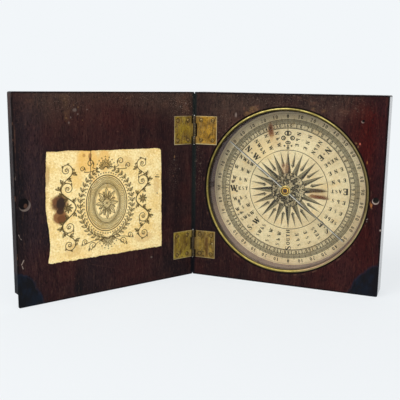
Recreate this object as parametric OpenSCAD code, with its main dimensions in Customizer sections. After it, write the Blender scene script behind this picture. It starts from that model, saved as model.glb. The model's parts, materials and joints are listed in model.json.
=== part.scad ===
// A surveyor's compass let into one leaf of a folding wooden case.
// The case stands on its lower edges, open like a book. The base leaf holds the compass,
// the lid leaf turns on two butt hinges.
//
// Each leaf is drawn in its own leaf frame: x runs from the hinge axis to the free edge,
// y runs up along the hinge, z points out of the leaf's inner face, and the wood lies at z < 0.
// The compass is drawn round the axis of its well, with z as in the leaf frame.

/* [Leaves] */
// Side of each square leaf
leaf_side = 150; // [148:1:190]
// Thickness of the base leaf
base_t = 20; // [19:0.5:30]
// Thickness of the lid leaf
lid_t = 7.5; // [6:0.5:14]
// Radius of the leaves' corners at the free edge, seen from the front
corner_r = 1.4; // [0.6:0.1:4]
// Chamfer along the leaves' outer arrises
arris = 0.5; // [0.2:0.1:1]
// Gap between the leaves' hinge edges when the case lies flat
joint_gap = 0.2; // [0.1:0.05:0.8]
// Gap between the inner faces when the case is closed
close_gap = 0.5; // [0.4:0.1:1.2]
// Angle between the leaves as the case stands
open_angle = 121.5; // [20:0.5:179]

/* [Well] */
// Wood between the well and the leaf's edges, where it is narrowest
rim_w = 10.55; // [10.3:0.05:16]
// Chamfer at the mouth of the well
mouth_chamfer = 0.6; // [0.2:0.1:1]
// Depth of the card's printed face below the base's inner face
card_depth = 13.4; // [12.4:0.1:14]
// Thickness of the printed card
card_t = 0.4; // [0.2:0.1:0.6]
// Thickness of the board under the card
board_t = 1.1; // [0.8:0.1:1.3]
// Clearance round the pieces that drop into the well
drop_gap = 0.15; // [0.05:0.05:0.3]

/* [Glass and its ring] */
// Thickness of the milled wire of the retaining ring
ring_wire = 2.2; // [1.8:0.1:2.6]
// How far the ring springs into its groove in the wall
ring_bite = 0.25; // [0.1:0.05:0.4]
// Depth of the ring's top below the base's inner face
ring_sink = 0.15; // [0.05:0.05:0.4]
// Opening of the ring at its split
ring_split = 0.3; // [0.2:0.1:2]
// Thickness of the cover glass
glass_t = 1.7; // [1.2:0.1:2]
// Wall of the hoop that lines the well
hoop_wall = 2.7; // [1.5:0.1:3.5]
// Opening of the hoop at its join
hoop_split = 0.3; // [0.1:0.1:1]

/* [Hinges] */
// Height of a hinge plate, along the hinge
plate_h = 22.6; // [18:0.2:28]
// Width of a hinge plate, from the hinge axis
plate_w = 19.2; // [16:0.2:22]
// Thickness of a hinge plate
plate_t = 1.2; // [1:0.1:1.4]
// Radius of the hinge barrel
barrel_r = 1.5; // [1.3:0.1:2]
// Length of the middle knuckle
knuckle_mid = 10.6; // [8:0.2:13]
// Width of the slot in a plate beside the other plate's knuckles
slot_w = 0.9; // [0.4:0.1:1.4]
// Radius of the hinge pins
hinge_pin_r = 0.7; // [0.5:0.05:0.9]
// Wood between the well and the upper base plate's corner
upper_hinge_gap = 0.75; // [0.7:0.05:6]
// Wood between the well and the lower base plate's corner
lower_hinge_gap = 2.8; // [0.7:0.05:6]
// Length of a hinge screw
hinge_screw_l = 5.5; // [4:0.5:5.5]
// Radius of a hinge screw's head
hinge_screw_head_r = 1.25; // [1:0.05:1.5]
// Radius of a hinge screw's shank
hinge_screw_r = 0.7; // [0.5:0.05:0.9]
// Distance of a plate's screws from its edges
screw_inset = 3.4; // [2.4:0.1:4.4]

/* [Needle] */
// Gap between the needle's ends and the hoop
needle_gap = 2.1; // [1:0.1:12]
// Thickness of the needle's bar at the middle
needle_t = 0.95; // [0.6:0.05:1.4]
// Thickness of the needle's bar at its ends
needle_tip_t = 0.55; // [0.4:0.05:0.8]
// Height of the needle's bar, which stands on edge
needle_h = 1.9; // [1.2:0.1:2.2]
// Direction that the needle rests in, from the free edge's side
needle_angle = -38; // [-180:1:180]
// Radius of the brass cap
cap_r = 4.1; // [3.6:0.1:5]
// Radius of the cap's boss inside the needle's eye
boss_r = 2.45; // [2.2:0.05:2.8]
// Radius of the agate cup
jewel_r = 1.3; // [1:0.05:1.5]
// Depth of the cap's top below the glass
cap_below_glass = 1; // [0.9:0.05:1.4]
// Radius of the pivot pin
pivot_r = 0.8; // [0.6:0.05:1]

/* [Needle arrest] */
// Radius of the plunger's hole in the base's inner face
plunger_hole_r = 2; // [1.6:0.1:2.4]
// Distance of the plunger's hole from the base's free edge
hole_from_edge = 5.4; // [4.4:0.1:6]
// Distance of the plunger's hole below the well's axis
hole_drop = 1.4; // [-4:0.2:4]
// Depth of the plunger's top below the base's inner face
plunger_sink = 2.6; // [1:0.1:5]
// Travel of the plunger
plunger_travel = 0.7; // [0.4:0.05:0.8]
// Width of the lever
lever_w = 5; // [4:0.1:5.6]
// Thickness of the lever
lever_t = 1; // [0.8:0.05:1.1]
// Radius of the lever's pin
lever_pin_r = 0.5; // [0.4:0.05:0.6]
// Radius of the collar's tube
collar_r = 2; // [1.7:0.1:2.3]

/* [Label and marks] */
// Width of the paper label
label_w = 95.6; // [70:0.2:105]
// Height of the paper label
label_h = 79; // [60:0.2:95]
// Distance of the label from the hinge axis
label_x = 31.8; // [28:0.2:40]
// Height of the label's lower edge on the lid
label_y = 28.6; // [15:0.2:45]
// Thickness of the label's paper
label_t = 0.15; // [0.1:0.05:0.25]
// Radius of the round scar near the lid's free edge
scar_r = 4; // [3:0.1:5]
// Depth of the round scar
scar_depth = 1; // [0.4:0.1:2]
// Length of the broken corner along the lid's free edge
chip_l = 10; // [5:0.5:20]
// Width of the broken corner on the lid's outer face
chip_w = 7; // [3:0.5:12]

/* [Hidden] */
$fn = 64;
round_fn = 180; // facets of the large circles
e = 0.5; // how far a cutter runs past a face
lap = 0.01; // how far two cutters run into each other

// Clearances
press_gap = 0.02; // round a pin that is driven in
run_gap = 0.06; // round a pin that turns or slides
touch_gap = 0.15; // between pieces that push on each other
knuckle_gap = 0.15; // between neighbouring knuckles, along the pin
swing_gap = 0.3; // round the barrel
inlay_gap = 0.05; // round a let-in plate

// Leaves
edge_in = joint_gap / 2; // the hinge edge, from the hinge axis
edge_out = edge_in + leaf_side; // the free edge
pin_rise = close_gap / 2; // the hinge axis above the inner faces
axis_x = edge_in + leaf_side / 2; // the well's axis
axis_y = leaf_side / 2;
well_r = leaf_side / 2 - rim_w;

// Hinges

// How far a hinge's middle lies from the well's axis, so that its plate's corner clears the well
function hinge_off(gap) = sqrt(pow(well_r + gap, 2) - pow(axis_x - plate_w, 2)) + plate_h / 2;

lower_hinge_y = axis_y - hinge_off(lower_hinge_gap);
upper_hinge_y = axis_y + hinge_off(upper_hinge_gap);
hinge_places = [lower_hinge_y, upper_hinge_y];
plate_screw_x = [barrel_r + slot_w + screw_inset, plate_w - screw_inset];
plate_screw_y = plate_h / 2 - screw_inset;

// Levels in the well, all negative
ring_mid_z = -ring_sink - ring_wire / 2;
glass_top = -ring_sink - ring_wire;
glass_bottom = glass_top - glass_t;
card_top = -card_depth;
card_bottom = card_top - card_t;
floor_z = card_bottom - board_t;
drop_r = well_r - drop_gap;
ring_mid_r = well_r + ring_bite - ring_wire / 2;

// Needle
needle_l = 2 * (drop_r - hoop_wall - needle_gap);
cap_top = glass_bottom - cap_below_glass;
crown_h = 1.2; // the cap's top above its flange's underside
bead_r = 0.42; // the raised bead on the cap's flange
bar_top = cap_top - crown_h;
bar_bottom = bar_top - needle_h;
boss_drop = 0.5; // the boss's end below the bar
boss_bottom = bar_bottom - boss_drop;
eye_wall = 1.05; // round the needle's eye
eye_r = boss_r + eye_wall;
tip_l = 1.5; // length of the needle's pointed ends
jewel_sink = 0.9; // the agate below the cap's top
jewel_top = cap_top - jewel_sink;
jewel_h = 1.6;
jewel_lip = 0.15; // the cap's lip over the agate
cup_h = 0.75; // depth of the cone in the agate
point_gap = 0.05; // between the pivot's point and the agate
point_r = 0.04; // radius of the pivot's blunted point
tip_z = jewel_top - jewel_h + cup_h - point_gap;
pivot_taper = 3.1; // length of the pivot's point

// Needle arrest
hole_x = edge_out - hole_from_edge;
hole_y = axis_y - hole_drop;
arm_l = norm([hole_x - axis_x, hole_y - axis_y]);
arm_angle = atan2(hole_y - axis_y, hole_x - axis_x);
fulcrum_r = arm_l / 2; // the pin's place, halfway, so the needle lifts as far as the plunger travels
cock_t = 0.5;
barrel_wall = 0.6; // round the lever's pin
lever_barrel_r = lever_pin_r + barrel_wall;
lever_pin_z = floor_z - cock_t - touch_gap - lever_barrel_r;
lever_top = floor_z - plunger_travel - touch_gap;
lever_bottom = lever_top - lever_t;
groove_z = min(lever_pin_z - lever_barrel_r, lever_bottom - plunger_travel) - touch_gap;
pad_wider = 0.4; // the lever's round ends, past its sides
pad_r = lever_w / 2 + pad_wider;
lever_eye_gap = 1; // round the pivot, hidden by the collar
ear_t = 0.8;
ear_gap = 0.2; // from the cock's ears to the groove's sides
groove_w = lever_w + 2 * (swing_gap + ear_t + ear_gap);
pivot_bite = 1; // depth of the pivot's foot below the groove
pivot_foot_z = groove_z - pivot_bite;
collar_flange_w = 0.9;
collar_flange_r = collar_r + collar_flange_w;
collar_flange_h = 0.7;
collar_bottom = lever_top + touch_gap;
collar_top = boss_bottom - touch_gap;
plunger_r = plunger_hole_r - run_gap;
plunger_flange_w = 0.7;
plunger_flange_r = plunger_r + plunger_flange_w;
plunger_flange_h = 0.6;
cock_l = 6; // along the lever
cock_reach = 4.2; // past the groove on each side
cock_screw_l = 3.4;
cock_screw_r = 0.5;
cock_screw_head_r = 0.9;
spring_t = 0.3;
spring_w = 3;
spring_near = 6; // the tip, from the lever's pin
spring_short = 8.9; // the foot's end, from the plunger's axis
spring_foot = 8; // length of the foot
spring_far = arm_l - fulcrum_r - spring_short;
rivet_r = 0.5;
rivet_x = fulcrum_r + spring_far - spring_foot / 2;
rivet_bite = 1.2; // depth of the rivet in the wood

// Label and marks
corner_wear = 1.2; // loss at the label's corners
torn_deep = 0.6; // depth of the label's torn edge
scar_in = 1; // the scar's middle, nearer the hinge than the plunger's hole
chip_skin = 0.8; // wood left over the broken corner, at the inner face

// Points along an arc
function arc_points(cx, cy, r, from, to, steps = 6) =
    [for (i = [0:steps]) let (a = from + (to - from) * i / steps) [cx + r * cos(a), cy + r * sin(a)]];

// Places what is drawn in the base's leaf frame
module on_base() {
    translate([-axis_x, -base_t / 2, 0]) rotate([90, 0, 0]) children();
}

// Places what is drawn in the lid's leaf frame, turned about the hinge axis
module on_lid() {
    translate([-axis_x, -base_t / 2 - pin_rise, 0]) rotate([0, 0, 180 - open_angle])
        translate([0, pin_rise, 0]) rotate([90, 0, 0]) mirror([1, 0, 0]) children();
}

// Places what is drawn round the well's axis
module in_well() {
    on_base() translate([axis_x, axis_y, 0]) children();
}

// Places what is drawn along the arrest lever, x running from the well's axis to the plunger
module along_lever() {
    in_well() rotate([0, 0, arm_angle]) children();
}

// A disc between two levels
module disc(r, low, high) {
    translate([0, 0, low]) cylinder(r = r, h = high - low);
}

// A rod along y between two places, for the hinges
module rod_y(r, from, to) {
    translate([0, from, 0]) rotate([-90, 0, 0]) cylinder(r = r, h = to - from);
}

// A square leaf with rounded free corners and chamfered outer arrises. The hinge edge stays sharp.
module leaf_board(t) {
    intersection() {
        translate([0, 0, -t]) linear_extrude(t) polygon(concat(
            [[edge_in, leaf_side], [edge_in, 0]],
            arc_points(edge_out - corner_r, corner_r, corner_r, -90, 0),
            arc_points(edge_out - corner_r, leaf_side - corner_r, corner_r, 0, 90)));
        translate([0, leaf_side + e, 0]) rotate([90, 0, 0]) linear_extrude(leaf_side + 2 * e)
            polygon([[edge_in - e, 0], [edge_out - arris, 0], [edge_out, -arris],
                     [edge_out, arris - t], [edge_out - arris, -t], [edge_in - e, -t]]);
        translate([edge_in - e, 0, 0]) rotate([90, 0, 90]) linear_extrude(leaf_side + 2 * e)
            polygon([[arris, 0], [leaf_side - arris, 0], [leaf_side, -arris], [leaf_side, arris - t],
                     [leaf_side - arris, -t], [arris, -t], [0, arris - t], [0, -arris]]);
    }
}

module at_plate_screws() {
    for (x = plate_screw_x, s = [-1, 1]) translate([x, s * plate_screw_y, 0]) children();
}

// A countersunk wood screw, its head flush at z = 0. gap widens it to cut its hole.
module wood_screw(l, r, head_r, gap = 0) {
    rotate_extrude() polygon([[0, 0], [head_r + gap, 0], [r + gap, r - head_r],
        [r + gap, -l + r], [0, -l - gap]]);
}

// What a hinge takes out of a leaf: the plate's bed, the room for the barrel and the screw holes
module hinge_bed() {
    translate([-e, -plate_h / 2 - inlay_gap, -plate_t])
        cube([plate_w + inlay_gap + e, plate_h + 2 * inlay_gap, plate_t + e]);
    translate([0, 0, pin_rise])
        rod_y(barrel_r + swing_gap, -plate_h / 2 - inlay_gap, plate_h / 2 + inlay_gap);
    at_plate_screws() wood_screw(hinge_screw_l, hinge_screw_r, hinge_screw_head_r, press_gap);
}

// A hinge plate. One with outer knuckles has the first and the last, the other has the middle one.
module hinge_plate(outer) {
    gap_half = knuckle_mid / 2 + (outer ? 0 : -knuckle_gap);
    difference() {
        union() {
            translate([0, -plate_h / 2, -plate_t]) cube([plate_w, plate_h, plate_t]);
            translate([0, 0, pin_rise]) if (outer) {
                rod_y(barrel_r, gap_half, plate_h / 2);
                rod_y(barrel_r, -plate_h / 2, -gap_half);
            } else {
                rod_y(barrel_r, -gap_half, gap_half);
            }
        }
        knuckle_room(outer, gap_half);
        translate([0, 0, pin_rise])
            rod_y(hinge_pin_r + (outer ? press_gap : run_gap), -plate_h / 2 - e, plate_h / 2 + e);
        at_plate_screws() wood_screw(hinge_screw_l, hinge_screw_r, hinge_screw_head_r, press_gap);
    }
}

// The room in a plate for the other plate's knuckles
module knuckle_room(outer, gap_half) {
    room_w = barrel_r + slot_w;
    if (outer) {
        translate([-e, -gap_half, -plate_t - e]) cube([room_w + e, 2 * gap_half, plate_t + 2 * e]);
    } else {
        for (s = [-1, 1]) translate([-e, s > 0 ? gap_half : -plate_h / 2 - e, -plate_t - e])
            cube([room_w + e, plate_h / 2 + e - gap_half, plate_t + 2 * e]);
    }
}

module hinge_pin() {
    translate([0, 0, pin_rise]) rod_y(hinge_pin_r, -plate_h / 2, plate_h / 2);
}

module hinge_screws() {
    for (y = hinge_places) translate([0, y, 0])
        at_plate_screws() wood_screw(hinge_screw_l, hinge_screw_r, hinge_screw_head_r);
}

// The base leaf with its well, the lever's groove, the plunger's hole and the hinge beds
module base_case() {
    color([0.22, 0.11, 0.10]) on_base() difference() {
        leaf_board(base_t);
        translate([axis_x, axis_y, 0]) {
            disc(well_r, floor_z, e, $fn = round_fn);
            translate([0, 0, -mouth_chamfer])
                cylinder(r1 = well_r, r2 = well_r + mouth_chamfer + e, h = mouth_chamfer + e, $fn = round_fn);
            rotate_extrude($fn = round_fn)
                translate([ring_mid_r, ring_mid_z]) circle(r = ring_wire / 2 + inlay_gap);
            disc(pivot_r + press_gap, pivot_foot_z, 0);
            rotate([0, 0, arm_angle]) lever_groove();
        }
        for (y = hinge_places) translate([0, y, 0]) hinge_bed();
    }
}

// The groove that the lever lies in, which runs on under the rim to the plunger's hole
module lever_groove() {
    translate([0, -groove_w / 2, groove_z]) cube([arm_l, groove_w, floor_z - groove_z + lap]);
    for (x = [0, arm_l]) translate([x, 0, 0]) disc(groove_w / 2, groove_z, floor_z + lap);
    translate([arm_l, 0, 0]) disc(plunger_hole_r, floor_z - e, e);
    translate([fulcrum_r, 0, floor_z]) {
        translate([-cock_l / 2 - inlay_gap, -groove_w / 2 - cock_reach - inlay_gap, -cock_t])
            cube([cock_l + 2 * inlay_gap, groove_w + 2 * (cock_reach + inlay_gap), cock_t + e]);
        at_cock_screws() wood_screw(cock_screw_l, cock_screw_r, cock_screw_head_r, press_gap);
    }
    translate([rivet_x, 0, 0]) disc(rivet_r + press_gap, groove_z - rivet_bite - press_gap, groove_z + e);
}

// The lid leaf with its hinge beds, the round scar and the broken corner
module lid_panel() {
    color([0.20, 0.11, 0.10]) on_lid() difference() {
        leaf_board(lid_t);
        for (y = hinge_places) translate([0, y, 0]) hinge_bed();
        translate([hole_x - scar_in, hole_y, -scar_depth]) cylinder(r = scar_r, h = scar_depth + e);
        translate([edge_out, chip_l, 0]) rotate([90, 0, 0]) linear_extrude(chip_l + e)
            polygon([[-chip_w, -lid_t - e], [e, -lid_t - e], [e, -chip_skin],
                     [-chip_skin, -chip_skin * 1.5]]);
    }
}

// The label's paper, its lower edge torn in shallow waves
module paper_label() {
    steps = 24;
    far_x = label_x + label_w;
    top_y = label_y + label_h;
    torn = [for (i = [0:steps]) let (u = i / steps)
        [far_x - label_w * u, label_y + torn_deep * (sin(u * 360 * 2.5) + sin(u * 360 * 6)) / 2]];
    color([0.86, 0.76, 0.52]) on_lid() linear_extrude(label_t) polygon(concat(torn,
        [[label_x + corner_wear, top_y - corner_wear], [label_x + 2 * corner_wear, top_y - corner_wear / 4],
         [label_x + label_w * 0.62, top_y - corner_wear / 3], [far_x - corner_wear / 2, top_y]]));
}

module upper_base_plate() {
    color([0.62, 0.50, 0.22]) on_base() translate([0, upper_hinge_y, 0]) hinge_plate(outer = true);
}

module upper_lid_plate() {
    color([0.58, 0.48, 0.20]) on_lid() translate([0, upper_hinge_y, 0]) hinge_plate(outer = false);
}

module lower_base_plate() {
    color([0.62, 0.50, 0.22]) on_base() translate([0, lower_hinge_y, 0]) hinge_plate(outer = false);
}

module lower_lid_plate() {
    color([0.58, 0.48, 0.20]) on_lid() translate([0, lower_hinge_y, 0]) hinge_plate(outer = true);
}

module upper_hinge_pin() {
    color([0.45, 0.42, 0.38]) on_base() translate([0, upper_hinge_y, 0]) hinge_pin();
}

module lower_hinge_pin() {
    color([0.45, 0.42, 0.38]) on_lid() translate([0, lower_hinge_y, 0]) hinge_pin();
}

module base_hinge_screws() {
    color([0.50, 0.40, 0.18]) on_base() hinge_screws();
}

module lid_hinge_screws() {
    color([0.50, 0.40, 0.18]) on_lid() hinge_screws();
}

// The ring of milled wire, sprung open at its split
module retaining_ring() {
    turn = ring_split / ring_mid_r * 180 / PI;
    color([0.72, 0.62, 0.28]) in_well() rotate([0, 0, 180 + turn / 2])
        rotate_extrude(angle = 360 - turn, $fn = round_fn)
            translate([ring_mid_r, ring_mid_z]) circle(r = ring_wire / 2);
}

module cover_glass() {
    color([0.80, 0.86, 0.86, 0.4]) in_well() disc(drop_r, glass_bottom, glass_top, $fn = round_fn);
}

// The hoop that stands on the card and carries the glass
module lining_hoop() {
    color([0.46, 0.42, 0.45]) in_well() difference() {
        disc(drop_r, card_top, glass_bottom, $fn = round_fn);
        disc(drop_r - hoop_wall, card_top - e, glass_bottom + e, $fn = round_fn);
        translate([-well_r - e, -hoop_split / 2, card_top - e])
            cube([hoop_wall + 4 * e, hoop_split, card_depth]);
    }
}

module compass_card() {
    color([0.84, 0.79, 0.65]) in_well() difference() {
        disc(drop_r, card_bottom, card_top, $fn = round_fn);
        disc(collar_r + swing_gap, card_bottom - e, card_top + e);
    }
}

// The board has a wider eye, which takes the collar's flange as it rises
module card_board() {
    color([0.55, 0.42, 0.30]) in_well() difference() {
        disc(drop_r, floor_z, card_bottom, $fn = round_fn);
        disc(collar_flange_r + swing_gap, floor_z - e, card_bottom + e);
    }
}

// A steel bar on edge with an eye for the cap. Both arms taper to their ends.
module needle_bar() {
    half = needle_l / 2;
    shoulder = half - tip_l;
    color([0.74, 0.75, 0.74]) in_well() rotate([0, 0, needle_angle]) difference() {
        union() {
            translate([0, 0, bar_bottom]) linear_extrude(needle_h) polygon([
                [-half, 0], [-shoulder, needle_tip_t / 2], [0, needle_t / 2],
                [shoulder, needle_tip_t / 2], [half, 0], [shoulder, -needle_tip_t / 2],
                [0, -needle_t / 2], [-shoulder, -needle_tip_t / 2]]);
            disc(eye_r, bar_bottom, bar_top);
        }
        disc(boss_r + press_gap, bar_bottom - e, bar_top + e);
    }
}

// The turned brass cap: boss, flange with a raised rim, and a stepped crown round the eye
module needle_cap() {
    lip_r = jewel_r - jewel_lip;
    dish_z = bar_top + crown_h / 2; // the flange's top, between the crown and the bead
    color([0.78, 0.62, 0.26]) in_well() rotate_extrude() polygon(concat(
        [[jewel_r + press_gap, jewel_top], [lip_r, jewel_top], [lip_r, cap_top - jewel_lip],
         [jewel_r, cap_top], [boss_r - jewel_lip * 2, cap_top], [boss_r, cap_top - jewel_lip * 2],
         [boss_r, dish_z]],
        arc_points(cap_r - 1.5 * bead_r, dish_z, bead_r, 180, 0),
        [[cap_r, (bar_top + dish_z) / 2], [cap_r - jewel_lip, bar_top], [boss_r, bar_top],
         [boss_r, boss_bottom], [jewel_r + press_gap, boss_bottom]]));
}

// The agate cup, hollowed from below by a cone that rides on the pivot's point
module cap_jewel() {
    low = jewel_top - jewel_h;
    color([0.25, 0.12, 0.08]) in_well() rotate_extrude() polygon([
        [0, jewel_top], [jewel_r, jewel_top], [jewel_r, low], [cup_h, low], [0, low + cup_h]]);
}

module pivot_pin() {
    color([0.62, 0.63, 0.65]) in_well() {
        disc(pivot_r, pivot_foot_z, tip_z - pivot_taper);
        translate([0, 0, tip_z - pivot_taper]) cylinder(r1 = pivot_r, r2 = point_r, h = pivot_taper);
    }
}

// The tube that rides up the pivot and lifts the needle by its cap
module lifting_collar() {
    color([0.74, 0.60, 0.28]) in_well() difference() {
        union() {
            disc(collar_r, collar_bottom, collar_top);
            disc(collar_flange_r, collar_bottom, collar_bottom + collar_flange_h);
        }
        disc(pivot_r + run_gap, collar_bottom - e, collar_top + e);
    }
}

// The lever: an eye round the pivot, a straight arm, a barrel on its pin and a round pad
module arrest_lever() {
    color([0.70, 0.56, 0.26]) along_lever() difference() {
        union() {
            translate([0, -lever_w / 2, lever_bottom]) cube([arm_l, lever_w, lever_t]);
            for (x = [0, arm_l]) translate([x, 0, 0]) disc(pad_r, lever_bottom, lever_top);
            translate([fulcrum_r, 0, lever_pin_z]) rod_y(lever_barrel_r, -lever_w / 2, lever_w / 2);
        }
        disc(pivot_r + lever_eye_gap, lever_bottom - e, lever_top + e);
        translate([fulcrum_r, 0, lever_pin_z]) rod_y(lever_pin_r + run_gap, -lever_w, lever_w);
    }
}

module at_cock_screws() {
    for (s = [-1, 1]) translate([0, s * (groove_w + cock_reach) / 2, 0]) children();
}

// The cock lies in the well's floor across the groove, with two ears that hold the lever's pin
module lever_cock() {
    ear_mid = lever_w / 2 + swing_gap + ear_t / 2;
    ear_low = lever_pin_z - lever_barrel_r;
    color([0.72, 0.58, 0.27]) along_lever() translate([fulcrum_r, 0, 0]) difference() {
        union() {
            translate([-cock_l / 2, -groove_w / 2 - cock_reach, floor_z - cock_t])
                cube([cock_l, groove_w + 2 * cock_reach, cock_t]);
            for (s = [-1, 1]) translate([-cock_l / 4, s * ear_mid - ear_t / 2, ear_low])
                cube([cock_l / 2, ear_t, floor_z - cock_t / 2 - ear_low]);
        }
        translate([0, 0, lever_pin_z]) rod_y(lever_pin_r + press_gap, -groove_w, groove_w);
        translate([0, 0, floor_z]) at_cock_screws()
            wood_screw(cock_screw_l, cock_screw_r, cock_screw_head_r, press_gap);
    }
}

module lever_pin() {
    half = lever_w / 2 + swing_gap + ear_t;
    color([0.60, 0.61, 0.63]) along_lever() translate([fulcrum_r, 0, lever_pin_z])
        rod_y(lever_pin_r, -half, half);
}

module cock_screws() {
    color([0.55, 0.45, 0.20]) along_lever() translate([fulcrum_r, 0, floor_z])
        at_cock_screws() wood_screw(cock_screw_l, cock_screw_r, cock_screw_head_r);
}

// A bent strip riveted to the groove's bottom, its free end under the lever close to the lever's pin
module lever_spring() {
    tip_top = lever_bottom - touch_gap - spring_near * plunger_travel / (arm_l - fulcrum_r);
    foot_top = groove_z + spring_t;
    color([0.75, 0.65, 0.35]) along_lever() difference() {
        translate([fulcrum_r, spring_w / 2, 0]) rotate([90, 0, 0]) linear_extrude(spring_w) polygon([
            [spring_near, tip_top], [spring_near, tip_top - spring_t], [spring_far - spring_foot, groove_z],
            [spring_far, groove_z], [spring_far, foot_top], [spring_far - spring_foot, foot_top]]);
        translate([rivet_x, 0, 0]) disc(rivet_r + press_gap, groove_z - e, foot_top + e);
    }
}

module spring_rivet() {
    color([0.55, 0.45, 0.20]) along_lever() translate([rivet_x, 0, 0])
        disc(rivet_r, groove_z - rivet_bite, groove_z + spring_t);
}

// The plunger stands on the lever's pad, and its flange keeps it from falling out
module arrest_plunger() {
    low = lever_top + touch_gap;
    color([0.66, 0.52, 0.24]) along_lever() translate([arm_l, 0, 0]) {
        disc(plunger_r, low, -plunger_sink);
        disc(plunger_flange_r, low, low + plunger_flange_h);
    }
}

base_case();
lid_panel();
paper_label();
upper_base_plate();
upper_lid_plate();
lower_base_plate();
lower_lid_plate();
upper_hinge_pin();
lower_hinge_pin();
base_hinge_screws();
lid_hinge_screws();
retaining_ring();
cover_glass();
lining_hoop();
compass_card();
card_board();
needle_bar();
needle_cap();
cap_jewel();
pivot_pin();
lifting_collar();
arrest_lever();
lever_cock();
lever_pin();
cock_screws();
lever_spring();
spring_rivet();
arrest_plunger();
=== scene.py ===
import json
import math
import random

import bpy
from mathutils import Matrix, Vector


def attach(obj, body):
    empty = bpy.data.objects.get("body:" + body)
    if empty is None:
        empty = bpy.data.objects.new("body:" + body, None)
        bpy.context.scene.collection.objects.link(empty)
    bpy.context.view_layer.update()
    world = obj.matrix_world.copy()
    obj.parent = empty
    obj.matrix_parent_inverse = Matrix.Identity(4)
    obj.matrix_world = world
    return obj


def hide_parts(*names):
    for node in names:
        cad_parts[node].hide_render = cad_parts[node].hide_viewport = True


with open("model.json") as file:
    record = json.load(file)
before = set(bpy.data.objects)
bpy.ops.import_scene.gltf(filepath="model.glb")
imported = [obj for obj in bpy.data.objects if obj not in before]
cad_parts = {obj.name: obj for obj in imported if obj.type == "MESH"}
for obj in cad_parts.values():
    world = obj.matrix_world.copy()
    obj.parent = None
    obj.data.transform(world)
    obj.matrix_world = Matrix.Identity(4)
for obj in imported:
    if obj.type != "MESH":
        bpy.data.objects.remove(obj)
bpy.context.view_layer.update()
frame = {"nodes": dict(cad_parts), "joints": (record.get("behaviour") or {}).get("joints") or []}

# A surveyor's compass in a folding wooden case. Lengths in the dictionaries are in millimetres on
# a leaf's page: x to the right and y up as its inner face is read, z out of that face. Colours are
# screen values, 0 to 255, and a mark is (x, y, radius, taller, colour, share).
mm = 0.001

hinge = next(joint for joint in frame["joints"] if joint["name"] == "lid_hinge")
case = {
    'hingeX': hinge["pos_m"][0],                           # metres, like hingeY and faceY
    'hingeY': hinge["pos_m"][1],
    'lidTurn': math.radians(180 + hinge["range_deg"][0]),  # how far the lid stands from lying flat
    'faceY': -10 * mm,                                     # the base's inner face
    'side': 150,
    'wellX': 75.1,
    'wellY': 75,
}
upright = Matrix.Rotation(math.pi / 2, 4, 'X')
basePage = Matrix.Translation((case['hingeX'], case['faceY'], 0)) @ upright
lidPage = (Matrix.Translation((case['hingeX'], case['hingeY'], 0)) @ Matrix.Rotation(case['lidTurn'], 4, 'Z')
           @ Matrix.Translation((0, case['faceY'] - case['hingeY'], 0)) @ upright)
leaves = {'base': (basePage, 1), 'lid': (lidPage, -1)}     # a leaf's page, and its side of the hinge


def tone(screen):
    # a colour for a shader from its screen values
    parts = [value / 255 for value in screen]
    return (*[part / 12.92 if part <= 0.04045 else ((part + 0.055) / 1.055) ** 2.4 for part in parts], 1)


class Link:
    # one output of a shader node, with arithmetic on it
    def __init__(self, tree, socket):
        self.tree = tree
        self.socket = socket

    def __add__(self, other):
        return self.tree.calc('ADD', self, other)

    def __sub__(self, other):
        return self.tree.calc('SUBTRACT', self, other)

    def __rsub__(self, other):
        return self.tree.calc('SUBTRACT', other, self)

    def __mul__(self, other):
        return self.tree.calc('MULTIPLY', self, other)

    def __abs__(self):
        return self.tree.calc('ABSOLUTE', self)

    def least(self, other):
        return self.tree.calc('MINIMUM', self, other)

    def most(self, other):
        return self.tree.calc('MAXIMUM', self, other)

    __radd__ = __add__
    __rmul__ = __mul__


class Tree:
    # the nodes of a material or a world in the making
    def __init__(self, owner):
        owner.use_nodes = True
        owner.node_tree.nodes.clear()
        self.owner = owner

    def node(self, kind, settings=None, values=None, output=0):
        made = self.owner.node_tree.nodes.new(kind)
        for key, value in (settings or {}).items():
            setattr(made, key, value)
        for key, value in (values or {}).items():
            if isinstance(value, Link):
                self.owner.node_tree.links.new(value.socket, made.inputs[key])
            else:
                made.inputs[key].default_value = value
        return Link(self, made.outputs[output]) if len(made.outputs) else None

    def calc(self, operation, *values):
        return self.node('ShaderNodeMath', {'operation': operation}, dict(enumerate(values)))

    def rays(self, *kinds):
        # 1 for rays of these kinds, 0 for others
        return sum(self.node('ShaderNodeLightPath', output=f'Is {kind} Ray') for kind in kinds).least(1)

    def blend(self, share, low, high):
        return self.node('ShaderNodeMixShader', None, {0: share, 1: low, 2: high})

    def close(self, surface, output='ShaderNodeOutputMaterial'):
        self.node(output, None, {'Surface': surface})
        return self.owner


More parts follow.
